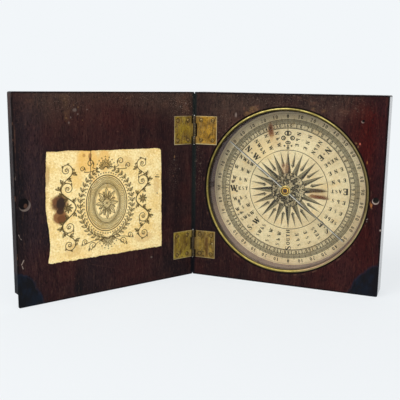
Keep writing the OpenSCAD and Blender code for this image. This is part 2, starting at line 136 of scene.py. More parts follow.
class Finish(Tree):
    # a material that is painted layer by layer on a ground and reads a page's coordinates
    def __init__(self, name, page=basePage, ground=None, palette=None):
        super().__init__(bpy.data.materials.new(name))
        self.colour = ground
        self.palette = palette
        self.normal = None
        toPage = page.inverted()
        self.page = self.node('ShaderNodeMapping', None, {
            'Vector': self.node('ShaderNodeTexCoord', output='Object'), 'Location': toPage.translation / mm,
            'Rotation': toPage.to_euler(), 'Scale': (1 / mm, 1 / mm, 1 / mm)})
        self.x, self.y, self.z = [self.node('ShaderNodeSeparateXYZ', None, {0: self.page}, axis)
                                  for axis in range(3)]
        self.flat = self.vector('MULTIPLY', self.page, (1, 1, 0))

    def vector(self, operation, first, second, output=0):
        return self.node('ShaderNodeVectorMath', {'operation': operation}, {0: first, 1: second}, output)

    def scaled(self, size, stretch=(1, 1, 1), seed=0, at=None):
        # coordinates for a pattern with parts of about this size
        parts, shift = [part / size for part in stretch], (seed * 7.3, seed * 3.7, seed * 5.1)
        return self.node('ShaderNodeVectorMath', {'operation': 'MULTIPLY_ADD'}, {
            0: at or self.page, 1: parts, 2: shift})

    def noise(self, size, detail=2, roughness=0.5, stretch=(1, 1, 1), seed=0, at=None):
        place = self.scaled(size, stretch, seed, at)
        return self.node('ShaderNodeTexNoise', None, {
            'Vector': place, 'Scale': 1, 'Detail': detail, 'Roughness': roughness})

    def rise(self, value, low, high):
        # 0 below low, 1 above high, smooth between
        return self.node('ShaderNodeMapRange', {'interpolation_type': 'SMOOTHSTEP'}, {
            0: value, 1: low, 2: high, 3: 0, 4: 1})

    def fall(self, value, low, high):
        # 1 below low, 0 above high
        return self.rise(value, high, low)

    def within(self, value, half, soft):
        # 1 where value is nearer to 0 than half, with a soft edge
        return self.fall(abs(value), max(half - soft, 0), half + soft)

    def away(self, x, y):
        # distance on the page from a point
        return self.vector('DISTANCE', self.flat, (x, y, 0), 1)

    def spot(self, x, y, radius, soft, tall=1, ragged=0):
        # a round or tall mask on the page, its edge moved by ragged
        squeezed = self.vector('MULTIPLY', self.flat, (1, 1 / tall, 0))
        away = self.vector('DISTANCE', squeezed, (x, y / tall, 0), 1)
        return self.fall(away + ragged, radius - soft / 2, radius + soft / 2)

    def stroke(self, start, end, half, soft):
        # a mask along a straight line on the page
        along = Vector((end[0] - start[0], end[1] - start[1], 0))
        fromStart = self.vector('SUBTRACT', self.flat, (*start, 0))
        share = self.vector('DOT_PRODUCT', fromStart, along / along.length_squared, 1).most(0).least(1)
        nearest = self.node('ShaderNodeVectorMath', {'operation': 'SCALE'}, {0: along, 3: share})
        return self.within(self.vector('DISTANCE', fromStart, nearest, 1), half, soft)

    def tint(self, colour):
        # a colour given by a link, by its name in the palette or by screen values
        if isinstance(colour, Link):
            return colour
        return tone(self.palette[colour] if isinstance(colour, str) else colour)

    def mix(self, share, low, high, blend='MIX'):
        return self.node('ShaderNodeMix', {'data_type': 'RGBA', 'blend_type': blend}, {
            0: share, 6: self.tint(low), 7: self.tint(high)}, 2)

    def paint(self, share, colour, blend='MIX'):
        self.colour = self.mix(share, self.colour, colour, blend)

    def blots(self, marks, soft, ragged=0, over=1, blend='MIX', most=99):
        # paints marks; soft and ragged are shares of a mark's radius, which counts up to most for ragged
        for x, y, radius, tall, colour, share in marks:
            mark = self.spot(x, y, radius, radius * soft, tall, ragged * min(radius, most))
            self.paint(mark * (over * share), colour, blend)

    def bump(self, height, depth, strength):
        # height from 0 to 1, depth in millimetres
        values = {'Height': height, 'Distance': depth * mm, 'Strength': strength}
        if self.normal:
            values['Normal'] = self.normal
        self.normal = self.node('ShaderNodeBump', None, values)

    def shader(self, values):
        if self.normal:
            values['Normal'] = self.normal
        return self.node('ShaderNodeBsdfPrincipled', None, values)

    def done(self, rough, metal=0, shine=0.5, coat=0, coatRough=0.03):
        return self.close(self.shader({
            'Base Color': self.colour, 'Roughness': rough, 'Metallic': metal, 'Specular IOR Level': shine,
            'Coat Weight': coat, 'Coat Roughness': coatRough}))


# Pieces

def onlySelect(piece):
    bpy.ops.object.select_all(action='DESELECT')
    piece.select_set(True)
    bpy.context.view_layer.objects.active = piece


def settle(piece, page, level=0):
    # moves a piece drawn in millimetres to its place on a page, level above the page
    piece.data.transform(page @ Matrix.Scale(mm, 4) @ Matrix.Translation((0, 0, level)))
    piece.data.update()
    return piece


def curveOf(name, lines, closed=False, profile=None, thick=0):
    # lines are lists of (x, y, half or whole width, turn), the last two as wanted
    curve = bpy.data.curves.new(name, 'CURVE')
    curve.dimensions = '2D' if thick else '3D'
    curve.twist_mode = 'Z_UP'
    curve.resolution_u = 1
    if thick:
        curve.fill_mode = 'BOTH'
        curve.extrude = thick / 2
    if profile:
        curve.bevel_mode = 'OBJECT'
        curve.bevel_object = profile
        curve.use_fill_caps = True
    for line in lines:
        spline = curve.splines.new('POLY')
        spline.points.add(len(line) - 1)
        for point, (x, y, *rest) in zip(spline.points, line):
            point.co = (x, y, 0, 1)
            point.radius = rest[0] if rest else 1
            point.tilt = rest[1] if len(rest) > 1 else 0
        spline.use_cyclic_u = closed
    piece = bpy.data.objects.new(name, curve)
    bpy.context.scene.collection.objects.link(piece)
    return piece


def roundSection(name, count, reach):
    # a closed profile whose points lie at reach(angle) from its middle
    points = []
    for number in range(count):
        angle = 2 * math.pi * number / count
        points.append((reach(angle) * math.cos(angle), -reach(angle) * math.sin(angle)))
    return curveOf(name, [points], closed=True)


def asMesh(piece):
    onlySelect(piece)
    bpy.ops.object.convert(target='MESH')
    bpy.ops.object.shade_flat()
    return piece


def piped(name, lines, section, page, level):
    # a mesh of a section led along lines
    piece = asMesh(curveOf(name, lines, profile=section))
    bpy.data.objects.remove(section)
    return settle(piece, page, level)


def modify(piece, kind, **settings):
    onlySelect(piece)
    added = piece.modifiers.new(kind, kind)
    for key, value in settings.items():
        setattr(added, key, value)
    bpy.ops.object.modifier_apply(modifier=added.name)


def worked(node, name, edge, smooth=30):
    # a merged copy of a CAD node, with its edges rounded by edge millimetres
    piece = frame["nodes"][node].copy()
    piece.data = piece.data.copy()
    piece.name = piece.data.name = name
    piece.data.materials.clear()
    bpy.context.scene.collection.objects.link(piece)
    for key in list(piece.keys()):
        del piece[key]
    piece.parent = None
    onlySelect(piece)
    bpy.ops.object.mode_set(mode='EDIT')
    bpy.ops.mesh.select_all(action='SELECT')
    bpy.ops.mesh.remove_doubles(threshold=0.002 * mm)
    bpy.ops.mesh.dissolve_limited(angle_limit=math.radians(0.5))
    bpy.ops.object.mode_set(mode='OBJECT')
    modify(piece, 'BEVEL', width=edge * mm, segments=2, limit_method='ANGLE', angle_limit=math.radians(40))
    bpy.ops.object.shade_smooth_by_angle(angle=math.radians(smooth))
    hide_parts(node)
    return piece


def keep(piece, body, material):
    piece.data.materials.clear()
    piece.data.materials.append(material)
    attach(piece, body)


def dress(material, *names):
    # gives CAD nodes their finish
    for name in names:
        held = frame["nodes"][name].data.materials
        for number in range(len(held)):
            held[number] = material
        if not len(held):
            held.append(material)


# The photograph's view and the studio round it, in metres

studio = {
    'eye': (0.12106, -0.49334, 0.15781),
    'yaw': 21.504,            # degrees, from +Y towards -X
    'pitch': -10.337,
    'roll': 0.780,
    'lens': 58.25,            # for a sensor 36 mm wide
    'backdrop': (242, 246, 249),
    'floor': (214, 216, 218),
    'roomLight': 0.62,        # what the room gives to every side
    'aim': (-0.03, -0.03, 0.07),
    'lamps': [                # place, size, power: in front, at the right, behind
        ((-0.32, -0.72, 0.86), 0.7, 9.0), ((0.75, -0.62, 0.42), 0.8, 4.0), ((-0.1, 0.9, 0.7), 0.9, 2.5),
    ],
}


def makeCamera():
    yaw, pitch, roll = [math.radians(studio[turn]) for turn in ('yaw', 'pitch', 'roll')]
    ahead = Vector((-math.sin(yaw) * math.cos(pitch), math.cos(yaw) * math.cos(pitch), math.sin(pitch)))
    level = Vector((math.cos(yaw), math.sin(yaw), 0))
    above = level.cross(ahead)
    right = math.cos(roll) * level + math.sin(roll) * above
    up = math.cos(roll) * above - math.sin(roll) * level
    bpy.ops.object.camera_add()
    camera = bpy.context.object
    turned = Matrix((right, up, -ahead)).transposed().to_4x4()
    camera.matrix_world = Matrix.Translation(studio['eye']) @ turned
    camera.data.lens = studio['lens']
    camera.data.sensor_width = 36
    camera.data.clip_start = 0.01
    bpy.context.scene.camera = camera


def makeLamps():
    for place, size, power in studio['lamps']:
        bpy.ops.object.light_add(type='AREA', location=place)
        lamp = bpy.context.object
        lamp.rotation_euler = (Vector(studio['aim']) - lamp.location).to_track_quat('-Z', 'Y').to_euler()
        lamp.data.shape = 'DISK'
        lamp.data.size = size
        lamp.data.energy = power


def makeRoom():
    # a backdrop that only eyes and mirrors see, and a pale floor that runs into it away from the case
    sky = Tree(bpy.data.worlds.new('Studio'))
    shown = sky.node('ShaderNodeBackground', None, {'Color': tone(studio['backdrop'])})
    felt = sky.node('ShaderNodeBackground', None, {'Strength': studio['roomLight']})
    seen = sky.blend(sky.rays('Camera', 'Glossy', 'Transmission'), felt, shown)
    bpy.context.scene.world = sky.close(seen, 'ShaderNodeOutputWorld')

    bpy.ops.mesh.primitive_plane_add(size=6, location=(0, 0, -0.0002))
    floor = bpy.context.object
    floor.name = 'studioFloor'
    finish = Finish('studioFloor', Matrix.Identity(4))
    matt = finish.node('ShaderNodeBsdfDiffuse', None, {'Color': tone(studio['floor'])})
    glow = finish.node('ShaderNodeEmission', None, {'Color': tone(studio['backdrop']), 'Strength': 1})
    paler = finish.blend(finish.fall(finish.away(0, -30), 160, 420) * 0.22, glow, matt)
    surface = finish.blend(finish.rays('Camera', 'Glossy', 'Transmission'), matt, paler)
    floor.data.materials.append(finish.close(surface))
    bpy.context.scene.view_settings.view_transform = 'Standard'


makeCamera()
makeLamps()
makeRoom()
print('studio ready')


# The two wooden leaves

woods = {
    'dark': (27, 16, 19),
    'middle': (50, 30, 29),
    'red': (66, 25, 22),
    'grey': (66, 52, 44),
    'plum': (40, 30, 35),
    'pore': (11, 7, 9),
    'ink': (14, 16, 20),
    'inkSheen': (20, 32, 48),
    'worn': (98, 68, 54),
    'edge': (12, 8, 10),
    'pale': (158, 142, 132),
    'redPale': (176, 92, 74),
    'orange': (168, 108, 62),
    'umber': (122, 92, 58),
    'deep': (46, 15, 16),
    'glow': (88, 22, 18),
    'blush': (239, 184, 180),
    'dust': (150, 128, 110),
}

baseWood = {
    'middle': 75.1, 'thick': 20, 'seed': 3,
    'stains': [                           # round parts of the ink stain: x, y, radius
        (151, 3, 19.5), (149, 15, 10.5), (134, -2, 6.5),
    ],
    'tints': [                            # x, y, radius, taller, colour, share
        (52, 158, 34, 0.8, 'grey', 0.75), (112, 156, 38, 0.6, 'grey', 0.60),
        (139, 124, 17, 1.4, 'red', 0.6), (143, 100, 14, 3.0, 'deep', 0.8), (146, 48, 12, 3.0, 'deep', 0.75),
        (137, 147, 6, 0.8, 'plum', 0.5), (142, 116, 9, 3.0, 'glow', 0.22), (131, 40, 10, 1.5, 'red', 0.4),
        (20, 135, 22, 1.2, 'grey', 0.45), (8, 75, 16, 3.4, 'dark', 0.65), (118, 16, 30, 0.7, 'red', 0.35),
        (126, 26, 16, 1.2, 'plum', 0.35), (18, 22, 18, 1.2, 'dark', 0.6), (60, 4, 40, 0.5, 'dark', 0.30),
        (149, 92, 8, 7.0, 'plum', 0.75), (84, 148, 60, 0.12, 'dark', 0.5), (147, 143, 7, 1.0, 'plum', 0.6),
    ],
    'rubs': [                             # x, y, radius, taller, colour, share
        (48.9, 137.4, 3.2, 0.7, 'umber', 0.6), (44.6, 133.8, 2.2, 0.8, 'umber', 0.55),
        (52, 139, 2.2, 0.8, 'worn', 0.6), (35, 133, 0.8, 2.0, 'pale', 0.4),
        (41.5, 137.8, 0.8, 1.5, 'worn', 0.5), (131.6, 113.7, 0.5, 1.7, 'red', 0.7),
        (131.0, 114.7, 0.45, 1.5, 'redPale', 0.8), (128.2, 114.9, 0.55, 1.0, 'umber', 0.6),
        (129.8, 112.4, 0.4, 2.0, 'umber', 0.5), (136.9, 101.4, 0.35, 3.2, 'orange', 0.5),
        (95.3, 139.4, 1.6, 0.6, 'umber', 0.35), (103.5, 137.9, 2.0, 0.6, 'umber', 0.35),
        (141.7, 69.6, 0.6, 2.6, 'orange', 0.7), (140.8, 71.4, 0.4, 3.4, 'orange', 0.45),
        (142.1, 67.6, 0.7, 1.0, 'worn', 0.6), (149.3, 51.5, 0.5, 1.2, 'pale', 0.85),
        (139.1, 57.2, 0.4, 1.0, 'pale', 0.6), (96, 143, 3.0, 0.5, 'worn', 0.35),
        (84, 147, 2.4, 0.5, 'worn', 0.35), (118, 138, 3.2, 0.7, 'worn', 0.3),
    ],
    'pits': [                             # x, y, radius, side that catches the light
        (132.5, 131.4, 0.95, (-0.35, -0.5)), (138.8, 59.9, 0.75, (0.2, -0.5)),
    ],
    'scratches': [                        # start, end, half width, colour, share
        ((24, 148), (31, 128), 0.12, 'worn', 0.35), ((88, 146), (97, 143), 0.1, 'worn', 0.3),
        ((144, 40), (147, 18), 0.12, 'worn', 0.3), ((6, 30), (9, 6), 0.12, 'worn', 0.35),
        ((140, 146), (145, 118), 0.1, 'worn', 0.15), ((126, 46), (133, 40), 0.12, 'worn', 0.4),
    ],
    'backRubs': [
        (60, 70, 22, 0.7, 'grey', 0.3), (104, 96, 16, 0.8, 'grey', 0.25), (20, 128, 5, 1.6, 'worn', 0.15),
        (131, 18, 4, 1.6, 'worn', 0.2), (2, 3, 2.6, 1.6, 'worn', 0.3), (147, 147, 2.6, 0.8, 'worn', 0.3),
        (74, 34, 1.0, 0.8, 'pore', 0.7), (92, 118, 0.8, 1.2, 'pore', 0.7), (38, 52, 0.7, 1.0, 'pale', 0.3),
    ],
    'backScratches': [
        ((22, 96), (70, 122), 0.14, 'worn', 0.5), ((30, 92), (58, 108), 0.1, 'worn', 0.4),
        ((84, 40), (131, 58), 0.14, 'worn', 0.5), ((96, 28), (104, 66), 0.1, 'pore', 0.6),
        ((48, 20), (56, 44), 0.12, 'worn', 0.4), ((112, 104), (138, 92), 0.1, 'pale', 0.3),
    ],
    'reddened': [(143, 100, 22, 3.4, 'blush', 1.0), (122, 26, 26, 1.0, 'blush', 0.45)],
    'dusty': [(22, 122, 12, 1.3, 'dust', 0.3), (60, 147, 40, 0.2, 'dust', 0.3),
              (4, 90, 4, 5.0, 'dust', 0.3), (116, 143, 20, 0.5, 'dust', 0.2)],
}

lidWood = {
    'middle': -75.1, 'thick': 7.5, 'seed': 8,
    'stains': [(-156, -3, 25.0), (-150, 12, 13.0)],
    'tints': [
        (-112, 154, 40, 0.6, 'grey', 0.65), (-40, 156, 34, 0.6, 'grey', 0.65),
        (-86, 128, 28, 0.8, 'red', 0.30), (-40, 124, 20, 1.0, 'red', 0.12),
        (-140, 80, 15, 4.0, 'plum', 0.75), (-148, 70, 5, 12.0, 'dark', 0.6),
        (-80, 12, 50, 0.4, 'dark', 0.5), (-10, 142, 12, 1.4, 'grey', 0.5), (-22, 66, 13, 4.0, 'dark', 0.50),
        (-10, 10, 15, 1.1, 'dark', 0.8), (-84, 14, 46, 0.4, 'plum', 0.3),
        (-104.4, 14, 3.2, 4.2, 'ink', 0.95), (-148, 98, 6, 7.0, 'ink', 0.5),
        (-148, 60, 6, 6.0, 'ink', 0.45), (-60, 14, 16, 0.9, 'red', 0.30), (-112, 22, 10, 1.2, 'red', 0.30),
    ],
    'rubs': [
        (-104.6, 137.1, 1.2, 0.9, 'pale', 0.24), (-107.6, 132.1, 0.6, 1.2, 'pale', 0.28),
        (-111, 131.8, 0.6, 1, 'umber', 0.4), (-102.1, 134.3, 0.5, 1, 'pale', 0.3),
        (-105.2, 140.7, 0.5, 0.8, 'umber', 0.4), (-109.1, 128.4, 0.5, 1.6, 'pale', 0.3),
        (-94.8, 137.4, 0.5, 0.8, 'pale', 0.25), (-101.7, 139.2, 0.5, 0.8, 'umber', 0.4),
        (-110.5, 138, 2.6, 3.0, 'umber', 0.16), (-98.5, 130, 0.5, 0.8, 'umber', 0.4),
        (-113, 146, 3.0, 0.8, 'umber', 0.14), (-18.9, 99.2, 0.45, 2.2, 'umber', 0.8),
        (-19.2, 96.9, 0.4, 1.2, 'pale', 0.4), (-14.0, 89.3, 0.35, 1.6, 'pale', 0.4),
        (-8.3, 141.0, 0.5, 1.2, 'pale', 0.4), (-13.5, 138.6, 0.5, 1.0, 'pale', 0.35),
        (-40.5, 20.6, 0.8, 0.8, 'pale', 0.3), (-148.6, 118, 0.5, 18.0, 'worn', 0.3),
        (-70, 121, 0.8, 0.7, 'worn', 0.35), (-133, 46, 0.5, 3.0, 'worn', 0.3),
        (-20, 84, 0.4, 2.0, 'worn', 0.6), (-9, 146, 2.4, 0.8, 'worn', 0.5),
        (-8, 139, 3.4, 1.5, 'worn', 0.45), (-16, 143, 2.6, 1.2, 'worn', 0.4),
        (-28, 140, 2.8, 0.9, 'worn', 0.3), (-60, 146, 2.2, 0.5, 'worn', 0.3),
        (-138, 144, 2.6, 0.6, 'worn', 0.3),
    ],
    'pits': [],
    'scratches': [
        ((-148.4, 52.8), (-147.6, 50.6), 0.2, 'pale', 0.8),
        ((-147.6, 50.6), (-146.5, 49.1), 0.16, 'pale', 0.8),
        ((-145.4, 34.3), (-147.1, 31.3), 0.26, 'pale', 0.9),
        ((-146.6, 30.1), (-146.1, 28.3), 0.26, 'pale', 0.8),
        ((-149.4, 96), (-149.0, 91), 0.18, 'pale', 0.6), ((-141, 88), (-138, 66), 0.12, 'worn', 0.4),
        ((-126, 140), (-121, 128), 0.1, 'worn', 0.35), ((-96, 24), (-74, 17), 0.1, 'worn', 0.3),
        ((-58, 142), (-50, 131), 0.1, 'worn', 0.35), ((-22, 22), (-13, 11), 0.1, 'worn', 0.4),
    ],
    'backRubs': [
        (-80, 82, 24, 0.8, 'grey', 0.3), (-42, 58, 14, 0.9, 'grey', 0.25),
        (-128, 126, 6, 1.8, 'worn', 0.15), (-12, 22, 4, 1.8, 'worn', 0.15),
        (-2, 148, 2.4, 0.8, 'worn', 0.3), (-148, 147, 2.4, 1.5, 'worn', 0.3),
        (-64, 108, 0.9, 0.8, 'pore', 0.7), (-101, 44, 0.8, 1.2, 'pore', 0.7),
    ],
    'backScratches': [
        ((-126, 60), (-88, 84), 0.14, 'worn', 0.5), ((-112, 58), (-92, 70), 0.1, 'worn', 0.4),
        ((-62, 30), (-26, 46), 0.14, 'worn', 0.5), ((-52, 118), (-44, 92), 0.1, 'pore', 0.6),
        ((-96, 134), (-74, 126), 0.12, 'pale', 0.3), ((-20, 84), (-14, 118), 0.1, 'worn', 0.4),
    ],
    'reddened': [],
    'dusty': [(-11, 139, 13, 1.2, 'dust', 0.55), (-48, 147, 34, 0.25, 'dust', 0.35),
              (-20, 88, 5, 3.0, 'dust', 0.4), (-112, 146, 20, 0.5, 'dust', 0.3)],
}


def paintGrain(finish, wood):
    # returns what later layers follow: the fibres, the pores' ticks, the clouds and the grime
    seed = wood['seed']
    drift = ((finish.noise(70, 1, seed=seed) - 0.5) * 9
             + (finish.noise(16, 1, stretch=(1, 0.3, 1), seed=seed) - 0.5) * 1.6)
    bent = finish.node('ShaderNodeCombineXYZ', None, {0: drift, 2: drift * 0.6})
    grain = finish.vector('ADD', finish.page, bent)
    bands = finish.noise(9, 4, 0.6, (1, 0.06, 1), seed, grain)
    fibres = finish.noise(1.5, 4, 0.75, (1, 0.10, 1), seed + 1, grain)
    ticks = finish.noise(0.62, 2, 0.6, (1, 0.22, 1), seed + 2, grain)
    clouds = finish.noise(26, 4, 0.6, (1, 0.7, 1), seed + 3)
    grime = finish.noise(6, 5, 0.7, seed=seed + 4)
    ragged = (clouds - 0.5) * 0.9
    finish.paint(finish.rise(bands, 0.34, 0.68), 'middle')
    finish.paint(finish.rise(clouds, 0.42, 0.62) * 0.35, 'red')
    finish.blots(wood['tints'], 1.3, ragged)
    finish.paint(finish.rise(grime, 0.50, 0.70) * 0.5, 'dark')
    finish.paint(finish.fall(fibres, 0.32, 0.50) * 0.5, 'pore')
    finish.paint(finish.rise(fibres, 0.52, 0.72) * 0.24, 'worn')
    finish.paint(finish.rise(ticks, 0.54, 0.68) * 0.75, 'pore')
    finish.paint(finish.fall(ticks, 0.28, 0.42) * 0.26, 'worn')
    finish.blots(wood['reddened'], 1.3, ragged, blend='MULTIPLY')
    return fibres, ticks, clouds, grime


def paintArrises(finish, wood, grime):
    # an arris is where two of the three distances to a face are small
    half, deep = case['side'] / 2, wood['thick'] / 2
    across = half - abs(finish.x - wood['middle'])
    up = half - abs(finish.y - half)
    through = deep - abs(finish.z + deep)
    second = across.least(up).most(across.most(up).least(through))
    worn = finish.fall(second + (grime - 0.5) * 1.4, 0.5, 1.7)
    finish.paint(worn * 0.9, 'edge')
    knocked = finish.rise(finish.noise(5, 2, seed=wood['seed'] + 7), 0.58, 0.68)
    finish.paint(finish.fall(second, 0.3, 0.6) * knocked * 0.6, 'worn')
    # painted shade along the gap between the leaves, beside the hinges' knuckles, darker towards the bottom
    joint = finish.fall(abs(finish.x) + (grime - 0.5) * 1.2, 1.3, 2.4) * finish.rise(finish.z, -0.6, -0.1)
    finish.paint(joint * 0.85, finish.mix(finish.rise(finish.y, 20, 70), (12, 12, 17), (26, 31, 30)))


def paintMarks(finish, wood, grime, inner):
    # marks on the inner face, then those on the back
    outer = finish.fall(finish.z + wood['thick'], 0.6, 1.4)
    broken = finish.rise(finish.noise(1.3, 3, 0.7, seed=wood['seed'] + 10), 0.40, 0.60) * 0.8 + 0.2
    ragged, faint = (grime - 0.5) * 2.4, finish.rise(grime, 0.36, 0.5)
    for face, rubs, scratches in ((inner, wood['rubs'], wood['scratches']),
                                  (outer, wood['backRubs'], wood['backScratches'])):
        for rub in rubs:
            finish.blots([rub], 1.2, ragged, face * broken if rub[2] > 1.4 else face)
        for start, end, half, colour, share in scratches:
            finish.paint(finish.stroke(start, end, half, 0.12) * faint * face * share, colour)
    specks = finish.rise(finish.noise(0.8, 2, 0.6, seed=wood['seed'] + 11), 0.60, 0.68)
    finish.blots(wood['dusty'], 1.2, over=specks * inner)


def paintPits(finish, pits, inner):
    # each pit gets a painted highlight on the rim that catches the light and painted shade inside
    hollow = 0
    for x, y, radius, (lightX, lightY) in pits:
        pit = finish.spot(x, y, radius, 0.3) * inner
        finish.paint(finish.spot(x + lightX, y + lightY, radius * 1.1, 0.4) * inner * 0.45, 'pale')
        finish.paint(pit, (9, 6, 7))
        hollow = hollow + pit
    return hollow


def paintStain(finish, wood, clouds, fibres):
    # ink soaked into the free lower corner
    soaked, ragged = 0, (clouds - 0.5) * 8 + (fibres - 0.5) * 3
    for x, y, radius in wood['stains']:
        soaked = finish.spot(x, y, radius, 3.0, 1, ragged).most(soaked)
    blue = finish.rise(finish.noise(7, 3, 0.6, (1, 0.6, 1), wood['seed'] + 8), 0.42, 0.66)
    sheen = blue * 0.45 + soaked * (1 - soaked) * 2.4
    finish.paint(soaked * 0.95, finish.mix(sheen, 'ink', 'inkSheen'))
    return soaked


def paintWell(finish, inner, seed):
    # painted shade in the gap round the ring, rubbed wood round the well, and at the plunger's hole a
    # painted highlight on its lower lip and painted shade inside
    away = finish.away(case['wellX'], case['wellY'])
    finish.paint(finish.within(away - 65.0, 0.5, 0.35) * inner, (12, 7, 7))
    rubbed = finish.within(away - 66.3, 0.4, 0.6) * finish.rise(finish.noise(5, 3, seed=seed), 0.55, 0.66)
    finish.paint(rubbed * inner * 0.55, 'worn')
    finish.paint(finish.spot(144.55, 73.1, 2.5, 0.5) * inner * 0.75, 'pale')
    finish.paint(finish.spot(144.7, 73.75, 2.15, 0.2) * inner, (10, 8, 9))


def paintScar(finish, inner, grime):
    # the round scar of the lost stud: a painted highlight on its lower rim and painted shade inside, with a
    # scuff beside it
    x, y, radius = -143.7, 73.6, 4.0
    finish.paint(finish.spot(x + 0.4, y - 0.7, radius + 0.2, 0.5) * inner * 0.4, 'pale')
    hollowShade = finish.spot(x - 0.3, y + 0.4, radius - 0.1, 0.7, 1, (grime - 0.5) * 1.5)
    finish.paint(hollowShade * inner, (13, 9, 11))
    scuff = finish.spot(x + 1.3, y - 1.3, 1.1, 0.8, 1.3, (grime - 0.5) * 2)
    finish.paint(scuff * inner * 0.6, 'worn')


def woodFinish(name, page, wood):
    finish = Finish(name, page, 'dark', woods)
    seed = wood['seed']
    fibres, ticks, clouds, grime = paintGrain(finish, wood)
    dents = finish.rise(finish.noise(2.6, 2, seed=seed + 5), 0.66, 0.74)
    finish.paint(dents * 0.5, 'edge')
    upper = finish.rise(finish.y + (clouds - 0.5) * 60, 96, 150)
    flecks = finish.rise(finish.noise(1.0, 2, 0.6, seed=seed + 6) + upper * 0.05, 0.69, 0.76)
    finish.paint(flecks * 0.55, 'worn')
    paintArrises(finish, wood, grime)
    inner = finish.rise(finish.z, -3, -2)
    paintMarks(finish, wood, grime, inner)
    hollow = paintPits(finish, wood['pits'], inner)
    soaked = paintStain(finish, wood, clouds, fibres)
    polished = 0
    if wood is baseWood:
        paintWell(finish, inner, seed + 9)
        # the free edge, kept polished by hands
        polished = finish.rise(finish.x, 149.95, 150.08)
    else:
        paintScar(finish, inner, grime)
    finish.bump(fibres, 0.05, 0.7)
    finish.bump(ticks, 0.04, 0.6)
    finish.bump(1 - dents, 0.12, 0.8)
    if wood['pits']:
        finish.bump(1 - hollow, 0.8, 1.0)
    rough = 0.40 + (grime - 0.5) * 0.35 + soaked * 0.1 + finish.rise(ticks, 0.54, 0.68) * 0.15
    return finish.done(rough, shine=0.06, coat=polished, coatRough=0.12)


dress(woodFinish('baseMahogany', basePage, baseWood), 'base_case')
dress(woodFinish('lidMahogany', lidPage, lidWood), 'lid_panel')


# A dark thread laid in the joint between the leaves, above, between and below the hinges: painted shade for
# the gap

gapShade = {'radius': 0.245, 'level': 0.25, 'step': 1.5, 'runs': ((1.2, 14.4), (38.2, 108.0), (131.7, 148.8))}


def waxFinish():
    # its colour is painted shade, darker towards the bottom
    finish = Finish('jointWax', basePage, (18, 23, 23))
    lumps = finish.noise(2.2, 4, 0.7, seed=15)
    finish.paint(finish.rise(lumps, 0.4, 0.65), (34, 41, 38))
    finish.paint(finish.fall(finish.y, 20, 70), (12, 12, 18))
    finish.bump(lumps, 0.05, 0.8)
    return finish.done(0.75 + (lumps - 0.5) * 0.3, shine=0.1)


def waxThread():
    runs = []
    for low, high in gapShade['runs']:
        count = int((high - low) / gapShade['step'])
        runs.append([(0, low + (high - low) * step / count, random.uniform(0.98, 1))
                     for step in range(count + 1)])
    section = roundSection('gapShadeSection', 12, lambda angle: gapShade['radius'])
    return piped('joint_gap_shade', runs, section, basePage, gapShade['level'])


random.seed(5)
keep(waxThread(), 'base', waxFinish())
print('wood done')


# Hinges: plates with knuckles, slotted screws and steel pins

plates = {
    'wide': 19.2, 'tall': 22.6, 'screwX': (5.8, 15.8), 'screwY': (-7.9, 7.9),
    'levels': (119.86, 26.31),            # the upper and the lower hinge's middle
    'edge': (192, 176, 132),
}
plateKinds = {
    'upper_base_plate': {
        'body': 'base', 'level': 0, 'seed': 1, 'rim': 0.9,
        'high': (170, 128, 38), 'middle': (122, 88, 24), 'low': (62, 42, 14), 'fade': (126, 98, 44)},
    'upper_lid_plate': {
        'body': 'lid', 'level': 0, 'seed': 2, 'rim': 0.9,
        'high': (154, 128, 34), 'middle': (116, 86, 24), 'low': (70, 48, 16), 'fade': (126, 104, 50)},
    'lower_base_plate': {
        'body': 'base', 'level': 1, 'seed': 3, 'rim': 0.45, 'streak': 12.2,
        'high': (150, 122, 48), 'middle': (108, 82, 32), 'low': (50, 33, 16), 'fade': (112, 90, 50),
        'spots': [           # x, y from the plate's middle, radius, soft, taller, colour, share
            (6.4, -7.0, 0.8, 0.5, 1, (38, 24, 14), 0.85), (9.0, -6.2, 0.6, 0.5, 1, (38, 24, 14), 0.85),
            (8.0, -5.0, 0.4, 0.5, 1, (38, 24, 14), 0.85), (6.2, 8.6, 0.9, 0.5, 1, (38, 24, 14), 0.85),
            (16.1, 1.2, 0.7, 0.5, 1, (38, 24, 14), 0.85), (16.9, 1.2, 0.5, 0.4, 1, (205, 190, 130), 0.9),
            (15.6, -5.5, 1.3, 1.0, 2.4, (170, 140, 66), 0.5)]},
    'lower_lid_plate': {
        'body': 'lid', 'level': 1, 'seed': 4, 'rim': 0.5,
        'high': (158, 136, 44), 'middle': (122, 96, 34), 'low': (74, 48, 18), 'fade': (122, 102, 54)},
}


